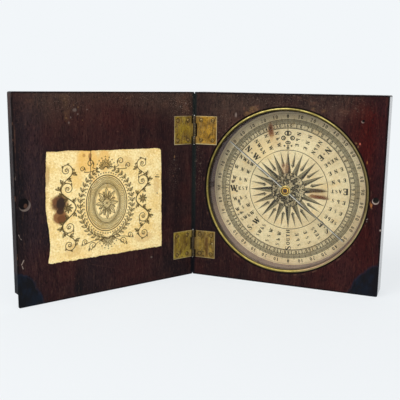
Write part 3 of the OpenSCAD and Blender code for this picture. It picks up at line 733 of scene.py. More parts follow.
def plateFinish(name, kind):
    page, side = leaves[kind['body']]
    finish = Finish(name, page, 'middle', kind)
    seed, centreY = kind['seed'], plates['levels'][kind['level']]
    reach, height = finish.x * side, finish.y - centreY
    blotches = finish.noise(4.2, 4, 0.6, (1, 0.7, 1), seed)
    pitting = finish.noise(1.1, 4, 0.7, seed=seed + 1)
    brushed = finish.noise(0.5, 2, 0.5, (1, 0.06, 1), seed + 2)
    finish.paint(finish.rise(blotches, 0.36, 0.62), 'high')
    finish.paint(finish.rise(finish.noise(2.6, 4, 0.7, (1, 0.5, 1), seed + 3), 0.52, 0.66) * 0.85, 'low')
    finish.paint(finish.rise(pitting, 0.54, 0.64) * 0.9, 'low')
    finish.paint(finish.rise(brushed, 0.5, 0.7) * 0.2, plates['edge'])
    # dull towards the knuckles
    finish.paint(finish.fall(reach, 1.6, 6.5) * 0.65, 'fade')
    if 'streak' in kind:
        streak = finish.within(reach - kind['streak'] - (blotches - 0.5) * 2, 1.1, 1.0)
        finish.paint(streak * finish.fall(abs(height + 2), 6.5, 9.5) * 0.8, (78, 46, 22))
        for x, y, radius, soft, tall, colour, share in kind['spots']:
            finish.paint(finish.spot(x, centreY + y, radius, soft, tall) * share, colour)
    # thin bevels painted pale, partly rubbed brass and partly a painted highlight, brightest below and on
    # the outer side
    inX = abs(reach - plates['wide'] / 2) - plates['wide'] / 2 + 0.5
    inY = abs(height) - plates['tall'] / 2 + 0.5
    border = finish.rise(inX.most(inY) + (pitting - 0.5) * 0.5, -0.12, 0.12)
    finish.paint(border * (0.55 + 0.45 * finish.fall(height, -9, 6)) * kind['rim'], plates['edge'])
    # painted shade on the knuckles, lighter where pitted
    knuckle = finish.rise(finish.z, 0.15, 0.6)
    finish.paint(knuckle * (0.94 - finish.rise(pitting, 0.5, 0.66) * 0.5), (32, 26, 20))
    # a dark ring in the gap round each screw's head
    for x in plates['screwX']:
        for y in plates['screwY']:
            gap = finish.within(finish.away(side * x, centreY + y) - 1.45, 0.26, 0.14)
            finish.paint(gap * 0.95, (22, 15, 9))
    finish.bump(pitting, 0.06, 0.6)
    finish.bump(blotches, 0.15, 0.5)
    return finish.done(0.42 + (pitting - 0.5) * 0.4, metal=0.62, shine=0.4)


for name, kind in plateKinds.items():
    keep(worked(name, name + '_worn', 0.16), kind['body'], plateFinish(name, kind))


screws = {'head': 1.25, 'shank': 0.7, 'long': 5.5, 'point': 0.7, 'slot': 0.34, 'slotDeep': 0.42, 'dome': 0.1}


def screwFinish(name, page):
    finish = Finish(name, page, (104, 78, 34))
    wear = finish.noise(0.8, 3, 0.6)
    finish.paint(finish.rise(wear, 0.4, 0.65), (166, 138, 78))
    finish.paint(finish.fall(finish.z, -0.14, -0.02), (24, 17, 10))
    finish.bump(wear, 0.04, 0.5)
    return finish.done(0.36 + (wear - 0.5) * 0.3, metal=0.7)


def selectEnd(piece, way):
    # selects the faces that look up, or down with way -1, for editing
    bpy.ops.object.mode_set(mode='EDIT')
    bpy.ops.mesh.select_mode(type='FACE')
    bpy.ops.mesh.select_all(action='DESELECT')
    bpy.ops.object.mode_set(mode='OBJECT')
    for face in piece.data.polygons:
        face.select = face.normal.z * way > 0.9
    bpy.ops.object.mode_set(mode='EDIT')


def screwPiece(x, y, turn):
    # a countersunk screw, its slot cut across the head
    sink = screws['head'] - screws['shank']
    bpy.ops.mesh.primitive_cone_add(vertices=40, radius1=screws['shank'], radius2=screws['head'], depth=sink,
                                    location=(0, 0, -sink / 2))
    screw = bpy.context.object
    bpy.ops.object.transform_apply(location=True, rotation=True, scale=True)
    selectEnd(screw, -1)
    for length in (screws['long'] - sink - screws['point'], screws['point']):
        bpy.ops.mesh.extrude_region_move(TRANSFORM_OT_translate={'value': (0, 0, -length)})
    bpy.ops.transform.resize(value=(0.15, 0.15, 1))
    selectEnd(screw, 1)
    for inset, share in ((0.12, 0.6), (0.45, 0.4)):
        bpy.ops.mesh.inset(thickness=inset)
        bpy.ops.transform.translate(value=(0, 0, screws['dome'] * share))
    bpy.ops.object.mode_set(mode='OBJECT')
    bpy.ops.mesh.primitive_cube_add(size=1, location=(0, 0, screws['dome']))
    blade = bpy.context.object
    blade.scale = (screws['slot'], 4, screws['slotDeep'] * 2 + screws['dome'])
    bpy.ops.object.transform_apply(location=True, rotation=True, scale=True)
    modify(screw, 'BOOLEAN', operation='DIFFERENCE', object=blade, solver='EXACT')
    bpy.data.objects.remove(blade)
    screw.data.transform(Matrix.Translation((x, y, 0)) @ Matrix.Rotation(turn, 4, 'Z'))
    return screw


def joined(pieces, name):
    onlySelect(pieces[0])
    for piece in pieces:
        piece.select_set(True)
    bpy.ops.object.join()
    pieces[0].name = pieces[0].data.name = name
    return pieces[0]


random.seed(11)
for node, body in (('base_hinge_screws', 'base'), ('lid_hinge_screws', 'lid')):
    page, side = leaves[body]
    made = [screwPiece(side * x, level + y, random.uniform(0, math.pi))
            for level in plates['levels'] for x in plates['screwX'] for y in plates['screwY']]
    screwSet = settle(joined(made, node + '_slotted'), page)
    bpy.ops.object.shade_smooth_by_angle(angle=math.radians(28))
    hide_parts(node)
    keep(screwSet, body, screwFinish(node, page))
print('hinges done')


# The ring: a wire of six strands milled like a rope, sprung into the wall above the glass

ring = {
    'radius': 63.45, 'wire': 1.25, 'level': -1.1, 'gap': 0.3,
    'strands': 6, 'turns': 56.67, 'steps': 1500, 'groove': 0.17,
}


def ropeRing():
    def reach(angle):
        return ring['wire'] - ring['groove'] * (0.5 - 0.5 * math.cos(ring['strands'] * angle))

    opening = ring['gap'] / ring['radius']
    path = []
    for number in range(ring['steps'] + 1):
        share = number / ring['steps']
        angle = math.pi + opening / 2 + (2 * math.pi - opening) * share
        path.append((case['wellX'] + ring['radius'] * math.cos(angle),
                     case['wellY'] + ring['radius'] * math.sin(angle),
                     1, 2 * math.pi * ring['turns'] * share))
    rope = piped('retaining_rope', [path], roundSection('ringSection', 24, reach), basePage, ring['level'])
    bpy.ops.object.shade_smooth()
    return rope


def ringFinish():
    # tarnished brass: brighter to the lower left with a painted highlight along the wire, painted shade on
    # the right, inside and where it meets wood and glass
    finish = Finish('ringBrass', basePage, (105, 93, 43))
    dx, dy = finish.x - case['wellX'], finish.y - case['wellY']
    over = (finish.away(case['wellX'], case['wellY']) - ring['radius']) * (1 / ring['wire'])
    cloud = finish.noise(9, 4, 0.6, seed=21)
    fine = finish.noise(0.7, 3, 0.6, seed=22)
    # low is the lower left, painted brighter as lit; dull is the right side, painted darker as shade
    low = finish.fall(dy + dx * 0.6 + (cloud - 0.5) * 24, -66, -20)
    dull = finish.rise(dx - abs(dy) * 0.35 + (cloud - 0.5) * 30, 4, 34)
    finish.paint(finish.rise(cloud, 0.38, 0.62), (130, 116, 58))
    finish.paint(low * 0.25, (196, 170, 78))
    finish.paint(dull * 0.85, (100, 88, 58))
    patchy = finish.rise(finish.noise(5, 3, 0.6, seed=23), 0.42, 0.6) * 0.5 + 0.2 + low * 0.2
    # a painted highlight along the wire, stronger to the lower left and weaker on the right
    highlightLine = finish.within(over - 0.2 + low * 0.3, 0.16, 0.2) * patchy
    finish.paint(highlightLine * (0.9 - dull * 0.78), (228, 210, 132))
    finish.paint(finish.rise(finish.noise(3, 4, 0.7, seed=24), 0.54, 0.70) * 0.6, (70, 62, 26))
    finish.paint(finish.rise(fine, 0.54, 0.68) * 0.5, (64, 54, 26))
    # painted shade on the wire's inner side, but for the lower left and weaker on the right
    inside = finish.fall(over, -0.75, -0.15)
    finish.paint(inside * (1 - low) * (1 - dull * 0.5) * 0.8, (44, 38, 17))
    # by the lower right a painted reflection of the hoop's paper, and a painted highlight along its outer
    # edge
    facing = finish.rise(dx - dy, 70, 84)
    finish.paint(facing * finish.fall(over, 0.0, 0.3) * 0.85, (146, 120, 98))
    finish.paint(facing * finish.within(over - 0.5, 0.16, 0.14) * 0.8, (238, 220, 156))
    # painted shade on the wire's flanks, where it meets wood and glass
    sides = finish.rise(abs(over) + (cloud - 0.5) * 0.3 - facing * 0.2, 0.5, 0.9)
    finish.paint(sides * 0.85, (32, 25, 11))
    finish.bump(fine, 0.03, 0.4)
    return finish.done(0.30 + sides * 0.3, metal=0.85)


rope = ropeRing()
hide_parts('retaining_ring')
keep(rope, 'base', ringFinish())
print('ring done')


# Glass and the paper hoop under it

def glassFinish():
    finish = Finish('clearGlass')
    dust = finish.rise(finish.noise(14, 5, 0.7, seed=31), 0.55, 0.8)
    clear = finish.shader({'Base Color': (0.97, 0.985, 0.98, 1), 'Roughness': 0.015 + dust * 0.05,
                           'Transmission Weight': 1.0, 'IOR': 1.22})
    through = finish.node('ShaderNodeBsdfTransparent', None, {'Color': (0.96, 0.98, 0.975, 1)})
    return finish.close(finish.blend(finish.rays('Shadow', 'Diffuse'), clear, through))


def hoopFinish():
    finish = Finish('liningPaper', basePage, (138, 118, 104))
    fibre = finish.noise(0.8, 4, 0.7, seed=41)
    cloud = finish.noise(11, 4, 0.6, seed=42)
    # painted shade: darker towards the hoop's upper part
    finish.paint(finish.rise(finish.y + (cloud - 0.5) * 40, 42, 92), (84, 69, 68))
    finish.paint(finish.rise(fibre, 0.5, 0.75) * 0.4, (158, 138, 126))
    finish.paint(finish.rise(cloud, 0.5, 0.66) * 0.35, (104, 88, 92))
    finish.paint(finish.rise(finish.noise(4, 4, 0.7, seed=43), 0.56, 0.68) * 0.5, (94, 74, 66))
    lapped = finish.within(finish.y - case['wellY'] - 0.6, 2.4, 0.8) * finish.fall(finish.x, 20, 24)
    finish.paint(lapped * 0.85, (52, 36, 34))
    # painted shade under the glass and ring, but for its lower part
    lower = finish.fall(finish.y - (finish.x - case['wellX']) * 0.4, 28, 62)
    finish.paint(finish.rise(finish.z, -5.0, -4.2) * (0.75 - lower * 0.6), (40, 30, 24))
    finish.bump(fibre, 0.05, 0.6)
    return finish.done(0.85, shine=0.2)


dress(glassFinish(), 'cover_glass')
dress(hoopFinish(), 'lining_hoop')


# The printed card

card = {
    'x': 75.4, 'y': 74.6, 'turn': -2.2,     # where the print lies on the card, degrees clockwise
    'face': -13.4,
    'medallion': 13.4, 'rose': 31.6, 'letters': 48.8, 'bandIn': 52.2, 'bandOut': 55.6, 'numbers': 60.4,
    'paper': (212, 188, 145), 'paperPale': (228, 208, 165), 'paperDull': (176, 152, 112),
    'ink': (36, 29, 17), 'inkSoft': (86, 80, 58),
    'stains': [                             # from the middle of the well
        (-15.6, 46.6, 2.2, 2.2, (146, 92, 52), 0.7), (-15.5, 47.4, 1.3, 2.2, (92, 48, 22), 0.9),
        (-14.5, 43.2, 1.8, 1.5, (112, 62, 28), 0.9), (-14.6, 40.0, 1.4, 1.6, (190, 140, 84), 0.4),
        (-12.5, 37.5, 3.4, 1.6, (206, 160, 98), 0.3), (-22, 30, 9, 1.0, (220, 184, 120), 0.4),
        (-2.4, 17.0, 2.8, 1.5, (150, 100, 66), 0.5), (-2.0, 25, 1.0, 3.0, (168, 120, 80), 0.15),
        (24.5, -2.6, 6.6, 0.45, (176, 136, 86), 0.5), (24, 0.7, 6.4, 0.24, (62, 38, 16), 0.85),
        (24.6, -4.4, 7.0, 0.22, (96, 46, 18), 0.92), (19.6, -4.2, 2.6, 0.5, (150, 104, 66), 0.45),
        (29.6, -5.4, 3.2, 0.26, (88, 52, 26), 0.75), (-45.9, 3.2, 1.15, 1.1, (54, 32, 24), 0.92),
        (-44.6, 4.0, 0.8, 1.2, (70, 36, 26), 0.85), (-42.2, -4.6, 1.0, 0.9, (36, 30, 28), 0.9),
        (-40.2, -12.7, 1.05, 1.5, (38, 34, 30), 0.9), (-39.2, -15.0, 0.7, 1.6, (38, 34, 30), 0.85),
        (-38.2, -22.2, 1.2, 0.8, (40, 36, 32), 0.9), (-40.4, -23.8, 0.8, 0.9, (44, 38, 34), 0.8),
        (-36.6, -21.6, 0.7, 0.8, (44, 38, 34), 0.8),
    ],
}


def cardPrint(finish):
    # masks of the full ink and of the paler tint
    medallion, rose, lettered = card['medallion'], card['rose'], card['letters']
    bandIn, bandOut, numbers = card['bandIn'], card['bandOut'], card['numbers']
    scale = (bandIn + bandOut) / 2 + 0.35    # the line between the degrees and their halves
    away = finish.away(card['x'], card['y'])
    angle = finish.calc('ARCTAN2', finish.x - card['x'], finish.y - card['y']) - math.radians(card['turn'])

    def spoke(count, shift=0):
        # signed distance along the circle to the nearest of count spokes
        part = finish.calc('FRACT', angle * (count / (2 * math.pi)) + (0.5 - shift))
        return (part - 0.5) * away * (2 * math.pi / count)

    def between(low, high):
        return finish.rise(away, low - 0.05, low + 0.05) * finish.fall(away, high - 0.05, high + 0.05)

    printed = 0
    for radius, half in (
            (rose, 0.25), (lettered, 0.34), (lettered + 0.72, 0.1), (bandIn, 0.13), (bandOut, 0.13),
            (numbers, 0.07), (medallion + 0.15, 0.24), (scale, 0.06)):
        printed = printed + finish.within(away - radius, half, 0.05)
    for count, shift, half, soft, low, high in (
            (360, 0, 0.13, 0.05, bandIn, scale), (720, 0, 0.07, 0.04, scale, bandOut),
            (72, 0, 0.2, 0.05, bandIn, bandOut), (36, 0.5, 0.13, 0.05, bandIn - 1.5, bandIn),
            (36, 0.5, 0.1, 0.05, bandOut, bandOut + 1.5), (4, 0, 0.12, 0.05, bandIn, numbers)):
        printed = printed + finish.within(spoke(count, shift), half, soft) * between(low, high)
    tint = between(bandIn, bandOut) * 0.52 + between(lettered + 0.7, bandIn) * 0.2

    # sixteen long points, one flank of each filled
    aside = spoke(16)
    main = finish.rise(finish.within(spoke(8), 2.2, 0.4), 0.3, 0.7)
    half = (rose - away) * (1 / (rose - medallion)) * (2.3 + main * 0.3) - abs(aside)
    field = between(medallion, rose)
    whole = finish.rise(half, 0, 0.1) * field
    flank = finish.rise(aside, -0.06, 0.06)
    outline = whole - finish.rise(half - 0.17, 0, 0.1) * field
    hatch = finish.within(finish.calc('FRACT', away * 2.6) - 0.5, 0.16, 0.1)
    pale = whole * (1 - flank)
    printed = printed + whole * flank * (0.92 + main * 0.08) + outline * 0.95 + pale * hatch * 0.55
    tint = tint + pale * 0.76

    # sixteen short points between them, barbed where they begin
    aside = spoke(16, 0.5)
    short = finish.rise((rose - away) * 0.108 - abs(aside), 0, 0.1) * between(19.6, rose)
    barb = finish.rise((away - 17.7) * 0.8 - abs(aside), 0, 0.12) * between(17.7, 19.9)
    printed = printed + short * (0.62 + finish.rise(aside, -0.05, 0.05) * 0.34) + barb * 0.8

    # pale leaves among dark stipple in the medallion
    inside = finish.fall(away, medallion - 0.1, medallion + 0.1)
    foliage = finish.rise(finish.noise(1.45, 2, 0.5, seed=57), 0.49, 0.55)
    seeds = finish.rise(finish.noise(1.05, 2, 0.6, seed=60), 0.53, 0.58)
    cells = finish.node('ShaderNodeTexVoronoi', None, {'Vector': finish.scaled(1.8, seed=56), 'Scale': 1})
    filled = ((1 - foliage) * 0.8 + seeds * 0.45 + finish.within(cells - 0.42, 0.12, 0.05) * 0.3).least(1)
    printed = printed * (1 - inside) + inside * filled
    return printed.least(1), tint * (1 - inside) + inside * 0.3


def cardFinish():
    finish = Finish('printedCard', basePage, 'paper', card)
    away = finish.away(card['x'], card['y'])
    fibre = finish.noise(0.7, 4, 0.65, seed=51)
    cloud = finish.noise(17, 5, 0.6, seed=52)
    worn = finish.noise(1.6, 4, 0.7, seed=53)
    crumbs = finish.noise(1.5, 3, 0.7, seed=59)
    finish.paint(finish.rise(cloud, 0.36, 0.64), 'paperPale')
    finish.paint(finish.rise(finish.noise(6, 5, 0.7, seed=54), 0.5, 0.72) * 0.5, 'paperDull')
    finish.paint(finish.rise(fibre, 0.48, 0.66) * 0.6, 'paperDull')
    finish.paint(finish.rise(crumbs, 0.54, 0.66) * 0.45, (168, 156, 128))
    finish.paint(finish.fall(crumbs, 0.32, 0.44) * 0.5, (234, 214, 172))
    # foxing and browner towards the edge; greyer at the upper left of the edge, a painted shadow of the
    # well's wall
    finish.paint(finish.rise(finish.noise(2.2, 3, 0.6, seed=55), 0.62, 0.74) * 0.45, (178, 138, 88))
    finish.paint(finish.rise(finish.noise(8, 3, 0.6, seed=58), 0.55, 0.68) * 0.35, (216, 178, 116))
    finish.paint(finish.rise(away, 55, 62) * 0.3, (206, 176, 150))
    corner = finish.y - finish.x + (cloud - 0.5) * 40 + (card['x'] - card['y'])
    finish.paint(finish.rise(away, 54, 60) * finish.rise(corner, 10, 60) * 0.5, (132, 120, 100))
    printed, tint = cardPrint(finish)
    finish.paint(tint, 'inkSoft')
    finish.paint(printed * (0.88 + finish.rise(worn, 0.34, 0.55) * 0.12), 'ink')
    stains = [(case['wellX'] + x, case['wellY'] + y, *rest) for x, y, *rest in card['stains']]
    finish.blots(stains, 0.9, (worn + cloud - 1) * 0.7, most=2)
    finish.bump(fibre, 0.03, 0.5)
    finish.bump(cloud, 0.5, 0.5)
    return finish.done(0.82, shine=0.2)


dress(cardFinish(), 'compass_card')
print('card printed')


# Engraved letters, each a few strokes of (x, y, width) on a body one unit high

hair, stem = 0.12, 0.265


def bow(cx, cy, rx, ry, start, end, steps=10, thin=hair, thick=stem):
    # part of an oval, thick at its sides as a pen makes it
    points = []
    for number in range(steps + 1):
        angle = math.radians(start + (end - start) * number / steps)
        width = thin + (thick - thin) * abs(math.cos(angle)) ** 1.5
        points.append((cx + rx * math.cos(angle), cy + ry * math.sin(angle), width))
    return points


def bar(x1, y1, x2, y2, width):
    return [(x1, y1, width), (x2, y2, width)]


def serif(x, y, half=0.15):
    return bar(x - half, y, x + half, y, hair)


letters = {                               # character: (advance, strokes)
    'N': (0.98, [bar(0.16, 0, 0.16, 1, hair), bar(0.14, 1, 0.78, 0, stem), bar(0.78, 0, 0.78, 1, hair),
                 serif(0.16, 0), serif(0.08, 0.97, 0.12), serif(0.78, 0.97)]),
    'E': (0.86, [bar(0.2, 0, 0.2, 1, stem), bar(0.06, 0.965, 0.7, 0.965, hair),
                 bar(0.06, 0.035, 0.74, 0.035, hair),
                 bar(0.2, 0.52, 0.54, 0.52, hair), bar(0.7, 1, 0.7, 0.74, hair),
                 bar(0.73, 0, 0.73, 0.28, hair),
                 bar(0.54, 0.64, 0.54, 0.4, hair)]),
    'S': (0.74, [[(0.58, 0.76, 0.07), (0.55, 0.9, 0.07), (0.38, 0.985, 0.08), (0.2, 0.94, 0.12),
                  (0.11, 0.78, 0.15), (0.18, 0.63, 0.19), (0.36, 0.51, 0.21), (0.54, 0.39, 0.2),
                  (0.6, 0.23, 0.15), (0.52, 0.07, 0.11), (0.33, 0.015, 0.08), (0.15, 0.08, 0.07),
                  (0.1, 0.24, 0.07)]]),
    'W': (1.28, [bar(0.12, 1, 0.4, 0, stem), bar(0.4, 0, 0.66, 0.97, hair), bar(0.6, 1, 0.88, 0, stem),
                 bar(0.88, 0, 1.15, 1, hair), serif(0.12, 0.97), serif(1.14, 0.97),
                 serif(0.6, 0.97, 0.12)]),
    'b': (0.72, [bar(0.18, 0, 0.18, 1, stem * 0.8), bow(0.34, 0.27, 0.25, 0.25, 150, -150),
                 serif(0.12, 0.97, 0.1)]),
    'A': (0.92, [bar(0.14, 0, 0.44, 1, hair), bar(0.42, 1, 0.76, 0, stem),
                 bar(0.24, 0.34, 0.64, 0.34, hair),
                 serif(0.14, 0.03), serif(0.77, 0.03)]),
    'T': (0.86, [bar(0.42, 0, 0.42, 1, stem), bar(0.06, 0.965, 0.78, 0.965, hair),
                 bar(0.08, 1, 0.08, 0.76, hair),
                 bar(0.76, 1, 0.76, 0.76, hair), serif(0.42, 0.03)]),
    'O': (0.94, [bow(0.46, 0.5, 0.36, 0.47, 0, 360, 20)]),
    'U': (0.92, [bar(0.2, 0.97, 0.2, 0.3, stem), bow(0.47, 0.3, 0.27, 0.27, 180, 360, 8),
                 bar(0.74, 0.3, 0.74, 0.97, hair),
                 serif(0.2, 0.97), serif(0.74, 0.97)]),
    'H': (1.0, [bar(0.2, 0, 0.2, 1, stem), bar(0.78, 0, 0.78, 1, stem), bar(0.2, 0.5, 0.78, 0.5, hair),
                serif(0.2, 0.03), serif(0.2, 0.97), serif(0.78, 0.03), serif(0.78, 0.97)]),
    '.': (0.42, [bow(0.2, 0.42, 0.07, 0.07, 0, 360, 6, 0.13, 0.13)]),
    '0': (0.66, [bow(0.3, 0.5, 0.22, 0.46, 0, 360, 14, hair, 0.16)]),
    '1': (0.5, [bar(0.26, 0, 0.26, 1, 0.16), bar(0.1, 0.84, 0.26, 0.98, hair), serif(0.26, 0.03)]),
    '2': (0.64, [bow(0.29, 0.74, 0.2, 0.22, 160, -30, 8, hair, 0.15), bar(0.47, 0.62, 0.1, 0.05, 0.1),
                 bar(0.08, 0.05, 0.54, 0.05, 0.12)]),
    '3': (0.62, [bow(0.27, 0.75, 0.19, 0.21, 150, -80, 8, hair, 0.14),
                 bow(0.27, 0.28, 0.22, 0.25, 80, -150, 8, hair, 0.16)]),
    '4': (0.66, [bar(0.4, 0, 0.4, 1, 0.15), bar(0.4, 1, 0.06, 0.3, hair), bar(0.04, 0.3, 0.58, 0.3, hair),
                 serif(0.4, 0.03, 0.12)]),
    '5': (0.62, [bar(0.16, 0.95, 0.5, 0.95, 0.12), bar(0.16, 0.95, 0.13, 0.55, hair),
                 bow(0.27, 0.32, 0.23, 0.28, 115, -150, 9, hair, 0.16)]),
    '6': (0.64, [bow(0.3, 0.29, 0.21, 0.26, 0, 360, 12, hair, 0.15),
                 bow(0.5, 0.42, 0.41, 0.54, 100, 190, 6, hair, 0.14)]),
    '7': (0.6, [bar(0.06, 0.94, 0.52, 0.94, 0.13), bar(0.5, 0.94, 0.22, 0, 0.14)]),
    '8': (0.64, [bow(0.3, 0.75, 0.17, 0.21, 0, 360, 12, hair, 0.13),
                 bow(0.3, 0.27, 0.22, 0.25, 0, 360, 12, hair, 0.15)]),
    '9': (0.64, [bow(0.3, 0.7, 0.21, 0.26, 0, 360, 12, hair, 0.15),
                 bow(0.1, 0.58, 0.41, 0.54, -80, 10, 6, hair, 0.14)]),
}


def written(text, height, middle, along, spread, big=None, weight=1.12):
    # strokes of a word centred on middle, reading towards along
    side = Vector((-along.y, along.x))
    sizes = [height * (big[number] if big else 1) for number in range(len(text))]
    wide = sum(letters[mark][0] * size for mark, size in zip(text, sizes)) + spread * (len(text) - 1)
    strokes, at = [], -wide / 2
    for mark, size in zip(text, sizes):
        advance, parts = letters[mark]
        for part in parts:
            strokes.append([(*(middle + along * (at + x * size) + side * ((y - 0.5) * size)),
                             width * size * weight) for x, y, width in part])
        at += advance * size + spread
    return strokes


def spokeAt(degrees, radius):
    # a place on the card's print, clockwise from north
    angle = math.radians(degrees + card['turn'])
    return Vector((card['x'] + radius * math.sin(angle), card['y'] + radius * math.cos(angle)))


def pointNames():
    # every compass point but north, read from outside
    names = ('NbE NNE NEbN N.E NEbE ENE EbN EAST EbS ESE SEbE S.E SEbS SSE SbE SOUTH '
             'SbW SSW SWbS S.W SWbW WSW WbS WEST WbN WNW NWbW N.W NWbN NNW NbW').split()
    strokes = []
    for number, text in enumerate(names, 1):
        degrees = number * 11.25
        middle = spokeAt(degrees, 40.6)
        along = (spokeAt(degrees, 30) - spokeAt(degrees, 50)).normalized()
        if number % 8 == 0:
            strokes += written(text, 2.7, middle, along, 0.75, [1.75] + [1] * (len(text) - 1))
        elif number % 4 == 0:
            strokes += written(text, 4.4, middle, along, 1.0)
        else:
            strokes += written(text, 2.75, middle, along, {3: 2.2, 4: 0.75}[len(text)])
    return strokes


def degreeNumbers():
    # degrees round the circle inside the scale, and those of each quarter outside it
    strokes = []
    for degrees in range(10, 370, 10):
        out = spokeAt(degrees, 60) - spokeAt(degrees, 40)
        along = Vector((out.y, -out.x)).normalized()
        quarter = degrees % 180 if degrees % 180 <= 90 else 180 - degrees % 180
        spread = 2.1 if degrees < 100 else 1.1
        strokes += written(str(degrees), 2.5, spokeAt(degrees, 50.75), along, spread, weight=1.4)
        strokes += written(str(quarter), 2.6, spokeAt(degrees, 58.0), along, 1.0, weight=1.4)
    return strokes


def northFlower():
    # ovals, lobes and a stem on the north line
    turned = Matrix.Rotation(math.radians(-card['turn']), 2)
    strokes = []
    ovals = [                               # distance from the middle, shift, half width, half height, pen
        (44.8, 0, 2.5, 1.65, 0.78), (44.8, 0, 0.4, 1.1, 0.9), (37.4, 0, 1.8, 1.0, 0.7),
        (37.4, 0, 0.5, 0.4, 0.4), (34.9, 0, 0.6, 0.4, 0.5), (33.3, 0, 0.9, 0.55, 0.6)]
    for hand in (-3.6, 3.6):
        ovals += [(41.0, hand, 1.45, 1.45, 0.85), (41.0, hand * 0.92, 0.25, 0.5, 0.5),
                  (34.9, hand * 0.78, 0.4, 0.35, 0.7)]
    for distance, shift, wide, tall, pen in ovals:
        corners = [Vector((shift + wide * math.cos(angle), tall * math.sin(angle)))
                   for angle in [2 * math.pi * step / 16 for step in range(17)]]
        strokes.append([(*(spokeAt(0, distance) + turned @ corner), pen) for corner in corners])
    for low, high, pen in ((31.6, 34.4, 0.5), (38.6, 39.8, 0.3), (46.5, 49.2, 0.3)):
        strokes.append([(*spokeAt(0, low), pen), (*spokeAt(0, high), pen)])
    return strokes


def inkFinish(name, page, dark, pale):
    finish = Finish(name, page, dark)
    finish.paint(finish.rise(finish.noise(1.3, 4, 0.7, seed=61), 0.45, 0.75), pale)
    return finish.done(0.8, shine=0.15)


def inked(name, strokes, page, level):
    # pen strokes that stand 0.06 mm proud
    pen = curveOf('penSection', [[(0.5, 0), (-0.5, 0), (-0.5, 0.06), (0.5, 0.06)]], closed=True)
    return piped(name, strokes, pen, page, level)


cardStrokes = pointNames() + degreeNumbers() + northFlower()
lettering = inked('card_lettering', cardStrokes, basePage, card['face'] + 0.005)
keep(lettering, 'base', inkFinish('cardInk', basePage, card['ink'], card['inkSoft']))
print('card lettered')


# The needle and what carries it

def paintRust(finish):
    # the needle lies 38 degrees below level: painted shade on its side face and along its upper side, and
    # beyond the cap a duller top, a painted reflection of the paper
    lean = math.radians(38)
    dx, dy = finish.x - case['wellX'], finish.y - case['wellY']
    aside = dx * math.sin(lean) + dy * math.cos(lean)
    along = dx * math.cos(lean) - dy * math.sin(lean)
    toPage = basePage.inverted()
    top = max((toPage @ corner.co).z for corner in frame["nodes"]['needle_bar'].data.vertices) / mm
    finish.paint(finish.rise(along, 14, 19) * finish.fall(along, 42, 47) * 0.8, (150, 136, 108))
    side = finish.fall(finish.z, top - 0.25, top - 0.08).most(finish.rise(aside, 0.12, 0.26))
    finish.paint(side * 0.93, (46, 36, 26))


def steelFinish(name, seed, page=basePage, pale=(224, 216, 200), dark=(86, 88, 88), needleShading=False):
    finish = Finish(name, page, pale)
    fine = finish.noise(0.5, 3, 0.6, seed=seed)
    cloud = finish.noise(6, 4, 0.6, seed=seed + 1)
    finish.paint(finish.rise(cloud, 0.35, 0.65), (192, 192, 186))
    finish.paint(finish.rise(fine, 0.58, 0.72) * 0.4, dark)
    if needleShading:
        paintRust(finish)
    finish.bump(fine, 0.02, 0.4)
    return finish.done(0.34 + (cloud - 0.5) * 0.3, metal=0.8)


def brassFinish(name, bright, middle, dark, seed, metal=0.85, rough=0.3):
    finish = Finish(name, basePage, middle)
    patch = 5
    cloud = finish.noise(patch, 4, 0.6, seed=seed)
    fine = finish.noise(0.6, 3, 0.6, seed=seed + 1)
    finish.paint(finish.rise(cloud, 0.38, 0.62), bright)
    finish.paint(finish.rise(finish.noise(patch / 3, 4, 0.7, seed=seed + 2), 0.56, 0.70) * 0.6, dark)
    finish.paint(finish.rise(fine, 0.6, 0.72) * 0.4, dark)
    finish.bump(fine, 0.03, 0.4)
    return finish.done(rough + (cloud - 0.5) * 0.25, metal)


def capFinish():
    # turned brass: painted highlights on its rim and on a ring round the eye, painted shade in the hollow
    # between and in the eye
    finish = Finish('capBrass', basePage, (92, 70, 26))
    away = finish.away(case['wellX'], case['wellY'])
    wear = finish.noise(0.9, 3, 0.6, seed=83)
    finish.paint(finish.rise(wear, 0.36, 0.66), (134, 104, 42))
    for radius, half, soft, share, colour in (
            (3.7, 0.35, 0.15, 0.9, (238, 214, 132)), (2.15, 0.4, 0.2, 0.9, (232, 180, 84)),
            (3.15, 0.18, 0.1, 0.85, (46, 32, 14))):
        finish.paint(finish.within(away - radius, half, soft) * share, colour)
    finish.paint(finish.fall(away, 1.45, 1.7) * 0.97, (22, 12, 7))
    finish.paint(finish.rise(finish.noise(0.5, 1, 0.5, seed=84), 0.56, 0.7) * 0.4, (78, 58, 26))
    return finish.done(0.28 + (wear - 0.5) * 0.2, metal=0.85)


def stoneFinish():
    finish = Finish('agate', basePage, (40, 22, 14))
    veins = finish.noise(0.8, 4, 0.6, seed=81)
    finish.paint(finish.rise(veins, 0.4, 0.6), (88, 46, 26))
    return finish.done(0.12 + (veins - 0.5) * 0.1, coat=0.3)


def boardFinish():
    finish = Finish('cardBacking', basePage, (150, 118, 84))
    fibre = finish.noise(1.1, 4, 0.7, seed=91)
    finish.paint(finish.rise(fibre, 0.4, 0.65), (112, 84, 58))
    finish.bump(fibre, 0.08, 0.6)
    return finish.done(0.9)


dress(steelFinish('needleSteel', 71, needleShading=True), 'needle_bar')
dress(steelFinish('workSteel', 73), 'pivot_pin', 'lever_pin', 'upper_hinge_pin')
dress(steelFinish('pinSteel', 75, lidPage, (128, 118, 104), (52, 46, 40)), 'lower_hinge_pin')
keep(worked('needle_cap', 'needle_cap_turned', 0.05, 35), 'needle', capFinish())
dress(brassFinish('workBrass', (196, 160, 84), (156, 122, 60), (96, 70, 34), 25),
      'lifting_collar', 'arrest_lever', 'lever_cock', 'cock_screws', 'lever_spring', 'spring_rivet')
# the plunger's brass painted near black: painted shade down in its hole
dress(brassFinish('plungerBrass', (30, 24, 16), (18, 14, 10), (8, 6, 5), 27, 0.2, 0.7), 'arrest_plunger')
dress(stoneFinish(), 'cap_jewel')
dress(boardFinish(), 'card_board')
print('needle done')


# The paper label on the lid: cream paper with an engraved ornament of the workshop's own

